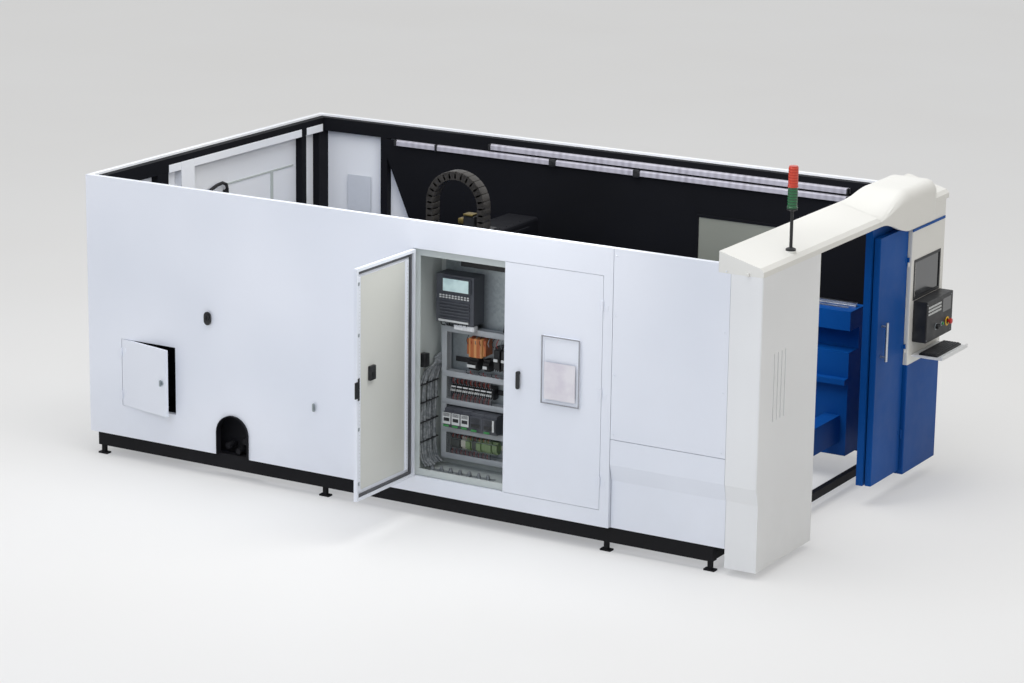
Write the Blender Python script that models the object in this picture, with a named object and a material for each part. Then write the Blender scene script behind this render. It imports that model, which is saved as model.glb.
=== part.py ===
"""Fiber laser cutting machine with an open-topped sheet metal enclosure.

Metres, +Z up, front (operator's door and console) towards +X, electrical cabinet towards -Y.
Every place below is written from the rear, near, bottom corner of the enclosure: x runs along the
bed to the front, y across to the far wall, z up from the floor. One empty carries them all and
puts the origin on the floor below the middle of the whole machine.
"""

import math

import bmesh
import bpy
from mathutils import Matrix, Vector

# Enclosure
LENGTH = 5.43
WIDTH = 3.04
HEIGHT = 2.10
WALL = 0.040
CLEAR = 0.0003
WALL_BOTTOM = 0.18
SEAM = 0.004
TUBE = 0.060
FRAME_FOOT = 0.070
FRAME_DROP = 0.015
TOP_RAIL = 0.105

# Front: column, header, sliding door, hinged leaf, console
HEADER_DEPTH = 0.32
HEADER_HEIGHT = 0.060
HEADER_CHAMFER = 0.025
HEADER_SLOPE = 0.080
COLUMN_DEPTH = 0.23
COLUMN_WIDTH = 0.87
COLUMN_BOTTOM = 0.05
COLUMN_CORNER = 0.012
RIB_WIDTH = 0.012
RIB_DEPTH = 0.005
RIB_PITCH = 0.055
RIB_LENGTH = 0.46
BAND_TOP = 0.625
BAND_BOTTOM = 0.51
BAND_RECESS = 0.030
LOWER_SEAM = 0.80
DOOR_STOW_GAP = 0.050
DOOR_OVERLAP = 0.020
LEAF_THICK = 0.045
LEAF_SETBACK = 0.030
LEAF_BOTTOM = 0.15
DOOR_THICK = 0.050
DOOR_GAP = 0.010
TRACK_TONGUE = 0.020
TRACK_DEPTH = 0.022
WINDOW_WIDTH = 0.46
WINDOW_HEIGHT = 0.50
WINDOW_DROP = 0.30
GLASS = 0.010
CONSOLE_WIDTH = 0.59
CONSOLE_DEPTH = 0.065
SCREEN_WIDTH = 0.44
SCREEN_HEIGHT = 0.26
SCREEN_RECESS = 0.012
OPERATOR_DEPTH = 0.110
OPERATOR_HEIGHT = 0.30
OPERATOR_INSET = 0.060
TRAY_REACH = 0.24
TRAY_HEIGHT = 0.99
OVER_TRAY = 0.10
UNDER_TRAY = 0.06
TRAY_THICK = 0.016
HOOD_OVERLAP = 0.09
HOOD_INSET = 0.26
HOOD_RISE = 0.135
HOOD_DROP = 0.155
HOOD_PROUD = 0.040
HOOD_ROUND = 0.085
HOOD_BACK_ROUND = 0.045
HOOD_CORNER = 0.110
HOOD_RAMP = 0.24

# Signal tower
TOWER_Y = 0.515
TOWER_SETBACK = 0.058
TOWER_POLE = 0.30
TOWER_LAMP = 0.14
TOWER_RADIUS = 0.036

# Electrical cabinet in the near wall
CABINET_START = 2.790
CABINET_END = 4.270
CABINET_FOOT = 0.118
CABINET_HEAD = 0.195
CABINET_DEPTH = 0.345
CABINET_LIP = 0.048
CABINET_SHEET = 0.010
CABINET_MEET = 3.520
PANEL_DOOR = 0.025
PANEL_DOOR_SKIN = 0.005
PANEL_DOOR_RIM = 0.022
REVEAL = 0.003
GRILLE_START = 3.820
GRILLE_END = 4.110
GRILLE_DROP = 0.1215
GRILLE_HEIGHT = 0.465
GRILLE_LOUVRES = 0.290
GRILLE_BORDER = 0.018
GRILLE_DEPTH = 0.012
GRILLE_SLATS = 12
PLATE_THICK = 0.004
DUCT_WIDTH = 0.040
DUCT_DEPTH = 0.065
DOOR_OPEN = 90.0

# Service hatch and cut-outs of the near wall
HATCH_START = 0.300
HATCH_END = 0.776
HATCH_BOTTOM = 0.420
HATCH_TOP = 0.915
HATCH_THICK = 0.020
HATCH_AJAR = 12.0
ARCH_START = 1.144
ARCH_END = 1.418
ARCH_TOP = 0.487
REMOVABLE_START = 4.345

# Lift-off hinges
HINGE_RADIUS = 0.0075
HINGE_HALF = 0.032
HINGE_LEAF = 0.040
HINGE_LEAF_THICK = 0.002

# Bed, rails and gantry
BED_START = 0.22
BED_END = 5.00
BED_NEAR = 0.42
BED_SIDE = 0.26
BED_BOTTOM = 0.20
BED_TOP = 1.27
RAIL_BEAM = 0.14
SIDE_RECESS_BOTTOM = 0.97
SIDE_RECESS = 0.16
CROSS_BEAM = 0.12
CROSS_HEIGHT = 0.20
CROSS_COUNT = 4
WEB_WINDOW = 0.90
WEB_WINDOW_TOP = 0.66
LEDGE_TOP = 0.78
LEDGE_THICK = 0.04
LEDGE_WIDTH = 0.06
RAIL_WIDTH = 0.030
RAIL_HEIGHT = 0.030
GANTRY_X = 2.16
BEAM_WIDTH = 0.28
BEAM_BOTTOM = 1.345
BEAM_TOP = 1.60
TRUCK_LENGTH = 0.60
TRUCK_WIDTH = 0.19
Y_RAIL = 0.020
CARRIAGE_Y = 1.52
CARRIAGE_WIDTH = 0.28
CARRIAGE_PLATE = 0.025
HOUSING_DEPTH = 0.155
HOUSING_TOP = 1.72
SLIDE_PLATE = 0.015
HEAD_RADIUS = 0.042
HEAD_TOP = 1.62
NOZZLE_TIP = 1.085
NOZZLE_LENGTH = 0.035
ARCH_OUTER = 0.250
ARCH_FORWARD = 0.075
CHAIN_THICK = 0.065
CHAIN_WIDTH = 0.100
CHAIN_TOP = 2.13
CHAIN_LINK = 0.050

# Cutting pallet
PALLET_START = 1.00
PALLET_LENGTH = 3.10
PALLET_NEAR = 0.75
PALLET_RAIL = 0.060
PALLET_BOTTOM = 0.80
PALLET_TOP = 0.90
SLAT_PITCH = 0.12
SLAT_THICK = 0.004
SLAT_TIP = 0.96
SLAT_ROOT = 0.87
TOOTH_DEPTH = 0.028
TEETH = 15
WHEEL_RADIUS = 0.030
WHEEL_COUNT = 4

# Rear passage for the pallet
PASSAGE_MARGIN = 0.13
PASSAGE_BOTTOM = 0.74
PASSAGE_TOP = 1.28

# Lamps and lining on the far side
LAMP_HEIGHT = 0.042
LAMP_LOW_DROP = 0.162
LAMP_HIGH_DROP = 0.102
LAMP_START = 0.80
LAMP_HIGH_START = 1.66
LAMP_END = 4.70
LINING_THICK = 0.005
LINING_DROP = 0.20
LINING_SLOPE = 0.42
LINING_BOTTOM = 0.95
LINING_BAND_DROP = 0.40

MID = WIDTH / 2
FRAME_TOP = HEIGHT - FRAME_DROP
FRAME_NEAR = WALL + CLEAR
FRAME_FAR = WIDTH - WALL - CLEAR - TUBE
HEADER_BOTTOM = HEIGHT - HEADER_HEIGHT
HEADER_START = LENGTH - HEADER_DEPTH
COLUMN_START = LENGTH - COLUMN_DEPTH
LEAF_FRONT = LENGTH - LEAF_SETBACK
LEAF_BACK = LEAF_FRONT - LEAF_THICK
DOOR_FRONT = LEAF_BACK - DOOR_GAP
DOOR_BACK = DOOR_FRONT - DOOR_THICK
CONSOLE_START = LENGTH - CONSOLE_DEPTH
FAR_INNER = WIDTH - WALL - CLEAR
DOOR_END = WIDTH - WALL - DOOR_STOW_GAP
DOOR_WIDTH = (DOOR_END - COLUMN_WIDTH + DOOR_OVERLAP) / 2
DOOR_START = DOOR_END - DOOR_WIDTH
LEAF_EDGE = DOOR_START + DOOR_OVERLAP
WINDOW_TOP = HEIGHT - WINDOW_DROP
CONSOLE_EDGE = WIDTH - WALL - CONSOLE_WIDTH
CONSOLE_BOTTOM = TRAY_HEIGHT - UNDER_TRAY
OPERATOR_BOTTOM = TRAY_HEIGHT + OVER_TRAY
OPERATOR_TOP = OPERATOR_BOTTOM + OPERATOR_HEIGHT
SCREEN_BOTTOM = OPERATOR_TOP + 0.02
HOOD_START = LEAF_EDGE - HOOD_OVERLAP
HOOD_END = WIDTH - HOOD_INSET
HOOD_TOP = HEIGHT + HOOD_RISE
SEAT_RISE = (TOWER_SETBACK + TOWER_RADIUS - HEADER_CHAMFER) / (HEADER_DEPTH - HEADER_CHAMFER)
TOWER_SEAT = HEIGHT + HEADER_SLOPE * SEAT_RISE
HOOD_LIP = HEIGHT - HOOD_DROP
CABINET_BOTTOM = WALL_BOTTOM + CABINET_FOOT
CABINET_TOP = HEIGHT - CABINET_HEAD
CABINET_MIDDLE = (CABINET_BOTTOM + CABINET_TOP) / 2
HANDLE_HEIGHT = CABINET_MIDDLE + 0.0535
GRILLE_BOTTOM = CABINET_MIDDLE - GRILLE_DROP
GRILLE_TOP = GRILLE_BOTTOM + GRILLE_HEIGHT
LAMP_LOW = HEIGHT - LAMP_LOW_DROP
LAMP_HIGH = HEIGHT - LAMP_HIGH_DROP


def clear_scene():
    for thing in list(bpy.data.objects):
        bpy.data.objects.remove(thing, do_unlink=True)


def finish(name, colour, roughness, metallic=0.0):
    """A Principled material; the colour is linear red, green, blue."""
    material = bpy.data.materials.new(name)
    material.use_nodes = True
    shader = material.node_tree.nodes["Principled BSDF"]
    shader.inputs["Base Color"].default_value = (*colour, 1.0)
    shader.inputs["Roughness"].default_value = roughness
    shader.inputs["Metallic"].default_value = metallic
    material.diffuse_color = (*colour, 1.0)
    return material


def carrier(name, pivot, parent=None, turn=0.0):
    """An empty on a joint's axis, turned about the vertical by degrees at rest."""
    empty = bpy.data.objects.new(name, None)
    bpy.context.scene.collection.objects.link(empty)
    empty["pivot"] = pivot
    start = Vector(parent["pivot"]) if parent else Vector((0, 0, 0))
    empty.parent = parent
    empty.location = Vector(pivot) - start
    empty.rotation_euler.z = math.radians(turn)
    return empty


def place(name, mesh, material, parent):
    """Adds a piece whose mesh is in enclosure places, with its origin moved to its carrier."""
    mesh.transform(Matrix.Translation(-Vector(parent["pivot"])))
    mesh.name = name
    mesh.materials.clear()
    mesh.materials.append(material)
    piece = bpy.data.objects.new(name, mesh)
    bpy.context.scene.collection.objects.link(piece)
    piece.parent = parent
    return piece


def smooth(mesh, angle=35):
    mesh.shade_smooth()
    mesh.set_sharp_from_angle(angle=math.radians(angle))
    return mesh


def mesh_of(shape):
    mesh = bpy.data.meshes.new("shape")
    shape.to_mesh(mesh)
    shape.free()
    return mesh


def box(low, high):
    shape = bmesh.new()
    bmesh.ops.create_cube(shape, size=1.0)
    low = Vector(low)
    high = Vector(high)
    bmesh.ops.scale(shape, vec=high - low, verts=shape.verts)
    bmesh.ops.translate(shape, vec=(low + high) / 2, verts=shape.verts)
    return mesh_of(shape)


def soft_box(low, high, radius, steps=2):
    """A box with every edge rounded."""
    shape = bmesh.new()
    shape.from_mesh(box(low, high))
    bmesh.ops.bevel(shape, geom=shape.edges, offset=radius, segments=steps, profile=0.5, affect="EDGES")
    return mesh_of(shape)


def on_axis(axis, along, u, v):
    return {"X": (along, u, v), "Y": (u, along, v), "Z": (u, v, along)}[axis]


def prism(axis, low, high, outline, holes=()):
    """An outline with holes, drawn across an axis and extruded along it."""
    shape = bmesh.new()
    loops = [[shape.verts.new(on_axis(axis, low, u, v)) for u, v in loop] for loop in (outline, *holes)]
    edges = [shape.edges.new((loop[i - 1], loop[i])) for loop in loops for i in range(len(loop))]
    if holes:
        filled = bmesh.ops.triangle_fill(shape, edges=edges, use_beauty=True)
        faces = [item for item in filled["geom"] if isinstance(item, bmesh.types.BMFace)]
    else:
        faces = [shape.faces.new(loops[0])]
    extruded = bmesh.ops.extrude_face_region(shape, geom=faces)
    moved = [item for item in extruded["geom"] if isinstance(item, bmesh.types.BMVert)]
    bmesh.ops.translate(shape, vec=on_axis(axis, high - low, 0, 0), verts=moved)
    bmesh.ops.recalc_face_normals(shape, faces=shape.faces)
    return mesh_of(shape)


def rectangle(u0, v0, u1, v1):
    return [(u0, v0), (u1, v0), (u1, v1), (u0, v1)]


def arc(u, v, radius, start, end, steps):
    """Points on an arc between two angles in degrees, both ends included."""
    angles = [math.radians(start + (end - start) * step / steps) for step in range(steps + 1)]
    return [(u + radius * math.cos(angle), v + radius * math.sin(angle)) for angle in angles]


def rounded(u0, v0, u1, v1, radii, steps=4):
    """A rectangle with its four corners rounded, from the low corner anticlockwise."""
    points = []
    corners = [(u0, v0, 1, 1, 180), (u1, v0, -1, 1, 270), (u1, v1, -1, -1, 0), (u0, v1, 1, -1, 90)]
    for (u, v, du, dv, start), radius in zip(corners, radii):
        if radius:
            points += arc(u + du * radius, v + dv * radius, radius, start, start + 90, steps)
        else:
            points.append((u, v))
    return points


def turned(axis, centre, profile, steps=16):
    """A body of revolution: profile holds (radius, height along the axis) from pole to pole."""
    shape = bmesh.new()
    across = [0, 1, 2]
    across.remove("XYZ".index(axis))
    rings = []
    for radius, along in profile:
        ring = []
        for step in range(1 if radius == 0 else steps):
            angle = math.tau * (step + 0.5) / steps
            point = list(centre)
            point[across[0]] += radius * math.cos(angle)
            point[across[1]] += radius * math.sin(angle)
            point["XYZ".index(axis)] += along
            ring.append(shape.verts.new(point))
        rings.append(ring)
    for lower, upper in zip(rings, rings[1:]):
        for step in range(steps):
            corners = [lower[step % len(lower)], lower[(step + 1) % len(lower)]]
            corners += [upper[(step + 1) % len(upper)], upper[step % len(upper)]]
            shape.faces.new(list(dict.fromkeys(corners)))
    bmesh.ops.recalc_face_normals(shape, faces=shape.faces)
    return smooth(mesh_of(shape))


def cylinder(axis, centre, radius, low, high, steps=16):
    return turned(axis, centre, [(0, low), (radius, low), (radius, high), (0, high)], steps)


def combined(operation, base, tools):
    """The base with each tool added or cut away, by exact Booleans."""
    target = bpy.data.objects.new("target", base)
    bpy.context.scene.collection.objects.link(target)
    helpers = []
    for tool in tools:
        helper = bpy.data.objects.new("tool", tool)
        bpy.context.scene.collection.objects.link(helper)
        helpers.append(helper)
        step = target.modifiers.new("step", "BOOLEAN")
        step.operation = operation
        step.object = helper
    graph = bpy.context.evaluated_depsgraph_get()
    result = bpy.data.meshes.new_from_object(target.evaluated_get(graph))
    for helper in [target, *helpers]:
        bpy.data.objects.remove(helper, do_unlink=True)
    return result


def fused(base, *tools):
    return combined("UNION", base, tools)


def cut(base, *tools):
    return combined("DIFFERENCE", base, tools)


def joined(shapes):
    """Several closed shapes that don't meet, as one mesh, to add or cut in one step."""
    shape = bmesh.new()
    for mesh in shapes:
        shape.from_mesh(mesh)
    return mesh_of(shape)


# Hinges and handles

HINGE_OUT = -(HINGE_RADIUS + CLEAR)


def hinge_halves(x, side, heights):
    """The halves of the lift-off hinges at x: those fixed to the wall and those on the door.

    side is +1 where the door lies at higher x than its hinge.
    """
    fixed = []
    moving = []
    for height in heights:
        for halves, start, way in ((fixed, height - HINGE_HALF, -side), (moving, height + CLEAR, side)):
            ends = sorted((x, x + way * HINGE_LEAF))
            end = start + HINGE_HALF
            halves.append(cylinder("Z", (x, HINGE_OUT, 0), HINGE_RADIUS, start, end, 12))
            halves.append(box((ends[0], -HINGE_LEAF_THICK, start), (ends[1], CLEAR, end)))
    return fixed, moving


def swing_handle(x, pivot_z, length):
    """A black lever that hangs from its pivot on a door's outer face and turns outward to unlatch."""
    width = 0.026
    low = pivot_z - length
    lever = prism(
        "Y", -0.026, -0.014, rounded(x - width / 2, low, x + width / 2, pivot_z + width / 2, [0.010] * 4, 3)
    )
    boss = cylinder("Y", (x, 0, pivot_z), 0.011, -0.020, -CLEAR, 12)
    return fused(lever, boss)


# Enclosure: frame, walls and front


def frame_posts():
    """Where the posts of the near and far frames start, along x."""
    near = [FRAME_NEAR, 0.86, 2.00, CABINET_START - TUBE, CABINET_END, HEADER_START - TUBE]
    far = [FRAME_NEAR, 0.64, 2.00, 3.42, 4.34, HEADER_START - TUBE]
    return near, far


def side_frame(posts, y):
    """A welded ladder of posts between a bottom and a top rail, in the plane of a long wall."""
    low = WALL_BOTTOM
    high = FRAME_TOP - TOP_RAIL
    windows = [rectangle(left + TUBE, low, right, high) for left, right in zip(posts, posts[1:])]
    outline = rectangle(posts[0], FRAME_FOOT, posts[-1] + TUBE, FRAME_TOP)
    return prism("Y", y, y + TUBE, outline, windows)


def rear_frame():
    """The cross frame at the rear, with the pallet's passage between two short posts."""
    low = WALL_BOTTOM
    high = FRAME_TOP - TOP_RAIL
    near = PALLET_NEAR - PASSAGE_MARGIN
    far = WIDTH - near
    lintel = PASSAGE_TOP + 0.08
    first = FRAME_NEAR + TUBE
    last = FRAME_FAR
    windows = [
        rectangle(near, low, far, PASSAGE_BOTTOM - TUBE),
        rectangle(near, PASSAGE_BOTTOM, far, PASSAGE_TOP),
        rectangle(first, low, near - TUBE, PASSAGE_TOP),
        rectangle(far + TUBE, low, last, PASSAGE_TOP),
        rectangle(first, lintel, 1.02, high),
        rectangle(1.175, lintel, last - 0.07, high),
    ]
    outline = rectangle(FRAME_NEAR + 0.01, FRAME_FOOT, FRAME_FAR + TUBE - 0.01, FRAME_TOP)
    return prism("X", FRAME_NEAR, FRAME_NEAR + TUBE, outline, windows)


def enclosure_frame():
    """The whole welded frame, with its foot plates and the ties that hold it to the bed."""
    near, far = frame_posts()
    end = near[-1]
    parts = [side_frame(far, FRAME_FAR), rear_frame()]
    sill_end = (end + TUBE - 0.01, FRAME_FAR + 0.01, 0.13)
    parts.append(box((end + 0.01, FRAME_NEAR + 0.01, FRAME_FOOT), sill_end))
    for y in (FRAME_NEAR, FRAME_FAR):
        for x in (near[0], near[2], near[4], near[5]):
            parts.append(box((x - 0.01, y + 0.005, 0), (x + TUBE + 0.01, y + TUBE - 0.005, 0.012)))
            parts.append(box((x + 0.015, y + 0.015, 0.006), (x + TUBE - 0.015, y + TUBE - 0.015, 0.08)))
    low = BED_BOTTOM + 0.01
    for x in (near[1], near[2], near[4]):
        start = FRAME_NEAR + TUBE - 0.01
        parts.append(box((x + 0.005, start, low), (x + TUBE - 0.005, BED_NEAR - CLEAR, low + TUBE)))
    for x in (far[1], far[2], far[4]):
        start = WIDTH - BED_NEAR + CLEAR
        parts.append(box((x + 0.005, start, low), (x + TUBE - 0.005, FRAME_FAR + 0.01, low + TUBE)))
    return fused(side_frame(near, FRAME_NEAR), *parts)


def near_wall():
    """The long panel on the operator's side, with its door openings and the arch for hoses."""
    radius = (ARCH_END - ARCH_START) / 2
    arch = arc((ARCH_START + ARCH_END) / 2, ARCH_TOP - radius, radius, 180, 0, 10)
    end = REMOVABLE_START - SEAM / 2
    outline = [(0, WALL_BOTTOM), (ARCH_START, WALL_BOTTOM), *arch, (ARCH_END, WALL_BOTTOM)]
    outline += [(end, WALL_BOTTOM), (end, HEIGHT), (0, HEIGHT)]
    hatch = rectangle(HATCH_START - REVEAL, HATCH_BOTTOM - REVEAL, HATCH_END + REVEAL, HATCH_TOP + REVEAL)
    doors = rectangle(
        CABINET_START - REVEAL, CABINET_BOTTOM - REVEAL, CABINET_END + REVEAL, CABINET_TOP + REVEAL
    )
    return prism("Y", 0, WALL, outline, [hatch, doors])


def near_front_panel():
    """The removable panel beside the cabinet, stepped at its top for the header."""
    start = REMOVABLE_START + SEAM / 2
    end = COLUMN_START - SEAM / 2
    low = LOWER_SEAM + SEAM / 2
    step = HEADER_BOTTOM - CLEAR
    outline = [(start, low), (end, low), (end, step), (HEADER_START - CLEAR, step)]
    outline += [(HEADER_START - CLEAR, HEIGHT), (start, HEIGHT)]
    return prism("Y", 0, WALL, outline)


def near_lower_panel():
    """The skirt panel: its upper part stands proud and slopes back to a recessed foot."""
    outline = [(0, LOWER_SEAM - SEAM / 2), (0, BAND_TOP), (BAND_RECESS, BAND_BOTTOM)]
    outline += [(BAND_RECESS, WALL_BOTTOM), (WALL, WALL_BOTTOM), (WALL, LOWER_SEAM - SEAM / 2)]
    return prism("X", REMOVABLE_START + SEAM / 2, COLUMN_START - SEAM / 2, outline)


def far_wall():
    end = LENGTH - LEAF_SETBACK
    step = HEADER_BOTTOM - CLEAR
    outline = [(0, WALL_BOTTOM), (end, WALL_BOTTOM), (end, step), (HEADER_START - CLEAR, step)]
    outline += [(HEADER_START - CLEAR, HEIGHT), (0, HEIGHT)]
    return prism("Y", WIDTH - WALL, WIDTH, outline)


def rear_wall():
    near = PALLET_NEAR - PASSAGE_MARGIN
    outline = rectangle(FRAME_NEAR, WALL_BOTTOM, WIDTH - FRAME_NEAR, HEIGHT)
    passage = rounded(near, PASSAGE_BOTTOM, WIDTH - near, PASSAGE_TOP, [0.02] * 4, 3)
    return prism("X", 0, WALL, outline, [passage])


def front_column():
    """The housing at the near front corner, with a rounded edge, a recessed foot and upright ribs."""
    plan = rounded(COLUMN_START, 0, LENGTH, COLUMN_WIDTH, [0, COLUMN_CORNER, 0.004, 0], 4)
    body = prism("Z", COLUMN_BOTTOM, HEADER_BOTTOM - CLEAR, plan)
    wedge = [(-0.02, COLUMN_BOTTOM - 0.01), (BAND_RECESS, COLUMN_BOTTOM - 0.01), (BAND_RECESS, BAND_BOTTOM)]
    wedge += [(0, BAND_TOP), (-0.02, BAND_TOP)]
    tools = [prism("X", COLUMN_START - 0.01, LENGTH + 0.01, wedge)]
    for rib in range(4):
        y = 0.20 + rib * RIB_PITCH
        outline = rounded(y, 1.04, y + RIB_WIDTH, 1.04 + RIB_LENGTH, [RIB_WIDTH / 2 - 0.0005] * 4, 3)
        tools.append(prism("X", LENGTH - RIB_DEPTH, LENGTH + 0.01, outline))
    return cut(body, *tools)


def header_top(x):
    """Height of the header's sloped top at x."""
    edge = LENGTH - HEADER_CHAMFER
    return HEIGHT + HEADER_SLOPE * (edge - x) / (edge - HEADER_START)


def header_beam():
    """The beam over the front opening: its top slopes to a bevelled front edge and carries a level
    seat for the signal tower, and the sliding door's track runs in its underside."""
    middle = (DOOR_BACK + DOOR_FRONT) / 2
    half = TRACK_TONGUE / 2 + 0.0015
    track = [(middle - half, HEADER_BOTTOM), (middle - half, HEADER_BOTTOM + TRACK_DEPTH)]
    track += [(middle + half, HEADER_BOTTOM + TRACK_DEPTH), (middle + half, HEADER_BOTTOM)]
    start = HEADER_START + CLEAR
    outline = [(start, HEADER_BOTTOM), *track, (LENGTH, HEADER_BOTTOM)]
    outline += [(LENGTH, HEIGHT - HEADER_CHAMFER), (LENGTH - HEADER_CHAMFER, HEIGHT)]
    outline.append((start, header_top(start)))
    seat = cylinder("Z", (LENGTH - TOWER_SETBACK, TOWER_Y, 0), TOWER_RADIUS, HEIGHT - 0.01, TOWER_SEAT)
    return fused(prism("Y", 0, WIDTH, outline), seat)


def header_hood():
    """The crowned cover over the far end of the header. It ramps up from the header at its near
    end, is rounded at its far end, and has a lip in front of the leaf and console."""
    front = LENGTH + HOOD_PROUD
    back = HEADER_START + 0.005
    edge = LENGTH - HEADER_CHAMFER
    outline = [(back, header_top(back) + CLEAR), (edge + CLEAR, HEIGHT + CLEAR)]
    outline += [(LENGTH + CLEAR, HEIGHT - HEADER_CHAMFER + CLEAR), (LENGTH + CLEAR, HOOD_LIP), (front, HOOD_LIP)]
    outline += arc(front - HOOD_ROUND, HOOD_TOP - HOOD_ROUND, HOOD_ROUND, 0, 90, 6)
    outline += arc(back + HOOD_BACK_ROUND, HOOD_TOP - HOOD_BACK_ROUND, HOOD_BACK_ROUND, 90, 180, 4)
    length = [(HOOD_START, HOOD_LIP - 0.01), (HOOD_END, HOOD_LIP - 0.01)]
    length += arc(HOOD_END - HOOD_CORNER, HOOD_TOP - HOOD_CORNER, HOOD_CORNER, 0, 90, 6)
    length += [(HOOD_START + HOOD_RAMP, HOOD_TOP), (HOOD_START, HEIGHT + 0.03)]
    sides = prism("X", back - 0.05, front + 0.05, length)
    body = combined("INTERSECT", prism("Y", HOOD_START - 0.05, HOOD_END + 0.05, outline), [sides])
    plan = rounded(back - 0.1, HOOD_START - 0.1, front, HOOD_END, [0, 0, HOOD_CORNER, 0], 6)
    trim = prism("Z", HOOD_LIP - 0.05, HOOD_TOP + 0.05, plan)
    outer = box((back - 0.2, HOOD_END - 0.2, HOOD_LIP - 0.05), (front + 0.2, HOOD_END + 0.2, HOOD_TOP + 0.05))
    return smooth(cut(body, cut(outer, trim)), 40)


# Front: sliding door, hinged leaf, console


def sliding_door():
    start = DOOR_START
    end = start + DOOR_WIDTH
    top = HEADER_BOTTOM - 0.010
    middle = (DOOR_BACK + DOOR_FRONT) / 2
    window = rounded(*window_sides(), [0.03] * 4, 3)
    leaf = prism("X", DOOR_BACK, DOOR_FRONT, rectangle(start, LEAF_BOTTOM, end, top), [window])
    half = TRACK_TONGUE / 2
    tongue_top = HEADER_BOTTOM + TRACK_DEPTH - CLEAR
    tongue = box((middle - half, start + 0.01, top - 0.01), (middle + half, end - 0.01, tongue_top))
    y, z = pull_centre()
    pocket = box((DOOR_FRONT - 0.016, y - 0.02, z - 0.08), (DOOR_FRONT + 0.01, y + 0.02, z + 0.08))
    return cut(fused(leaf, tongue), pocket)


def window_sides():
    """Low and high corners, in y and z, of the sliding door's window."""
    start = DOOR_START + (DOOR_WIDTH - WINDOW_WIDTH) / 2
    return start, WINDOW_TOP - WINDOW_HEIGHT, start + WINDOW_WIDTH, WINDOW_TOP


def sliding_window():
    y0, z0, y1, z1 = window_sides()
    middle = (DOOR_BACK + DOOR_FRONT) / 2
    pane = rounded(y0 + CLEAR, z0 + CLEAR, y1 - CLEAR, z1 - CLEAR, [0.03] * 4, 3)
    return prism("X", middle - GLASS / 2, middle + GLASS / 2, pane)


def pull_centre():
    return DOOR_START + 0.08, 1.10


def flush_pull():
    """The recessed pull of the sliding door: a cup with a turned-in lip."""
    y, z = pull_centre()
    inset = CLEAR
    outline = rectangle(y - 0.02 + inset, z - 0.08 + inset, y + 0.02 - inset, z + 0.08 - inset)
    cup = prism("X", DOOR_FRONT - 0.016 + CLEAR, DOOR_FRONT, outline)
    flange = rounded(y - 0.03, z - 0.09, y + 0.03, z + 0.09, [0.008] * 4, 3)
    plate = prism("X", DOOR_FRONT + CLEAR, DOOR_FRONT + 0.003, flange)
    neck = prism("X", DOOR_FRONT - 0.002, DOOR_FRONT + 0.001, outline)
    hollow = box((DOOR_FRONT - 0.012, y - 0.014, z - 0.07), (DOOR_FRONT + 0.01, y + 0.014, z + 0.07))
    return cut(fused(cup, neck, plate), hollow)


LEAF_AXIS_X = LEAF_FRONT + HINGE_RADIUS + 0.0005
LEAF_AXIS_Y = CONSOLE_EDGE - HINGE_RADIUS - CLEAR - 0.0005
LEAF_HINGES = (LEAF_BOTTOM + 0.27, CONSOLE_BOTTOM + 0.12, HOOD_LIP - 0.265)


def far_leaf():
    """The narrow hinged leaf beside the console: a box section door skin."""
    edge = LEAF_AXIS_Y - CLEAR
    plan = rounded(LEAF_BACK, LEAF_EDGE, LEAF_FRONT, edge, [0, 0.006, 0.002, 0], 3)
    body = prism("Z", LEAF_BOTTOM, HOOD_LIP - 0.008, plan)
    knuckles = []
    for height in LEAF_HINGES:
        start = height + CLEAR
        end = start + HINGE_HALF
        knuckles.append(cylinder("Z", (LEAF_AXIS_X, LEAF_AXIS_Y, 0), HINGE_RADIUS, start, end, 12))
        low = (LEAF_FRONT - 0.002, edge - HINGE_LEAF, start)
        knuckles.append(box(low, (LEAF_FRONT + HINGE_LEAF_THICK, LEAF_AXIS_Y, end)))
    return fused(body, *knuckles)


def leaf_handle():
    """An upright bar on two standoffs, near the leaf's free edge."""
    y = LEAF_EDGE + 0.075
    x = LEAF_FRONT + 0.042
    low = 1.05
    high = 1.33
    bar = cylinder("Z", (x, y, 0), 0.011, low, high, 12)
    posts = [cylinder("X", (0, y, z), 0.008, LEAF_FRONT + CLEAR, x, 12) for z in (low + 0.03, high - 0.03)]
    return fused(bar, *posts)


def screen_sides():
    """Low and high corners, in y and z, of the console's screen."""
    middle = (CONSOLE_EDGE + FAR_INNER) / 2
    half = SCREEN_WIDTH / 2
    return middle - half, SCREEN_BOTTOM, middle + half, SCREEN_BOTTOM + SCREEN_HEIGHT


def console_panel():
    """The white upper housing of the console, with the screen's recess and its hinge halves."""
    plan = rounded(CONSOLE_START, CONSOLE_EDGE, LENGTH, FAR_INNER, [0, 0.010, 0.014, 0], 4)
    body = prism("Z", CONSOLE_BOTTOM, HEADER_BOTTOM - CLEAR, plan)
    hinges = []
    for height in LEAF_HINGES[1:]:
        start = height - HINGE_HALF
        hinges.append(cylinder("Z", (LEAF_AXIS_X, LEAF_AXIS_Y, 0), HINGE_RADIUS, start, height, 12))
        low = (LEAF_AXIS_X - 0.003, LEAF_AXIS_Y, start)
        hinges.append(box(low, (LEAF_AXIS_X + 0.003, CONSOLE_EDGE + 0.004, height)))
    y0, z0, y1, z1 = screen_sides()
    recess = box((LENGTH - SCREEN_RECESS, y0, z0), (LENGTH + 0.01, y1, z1))
    return cut(fused(body, *hinges), recess)


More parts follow.
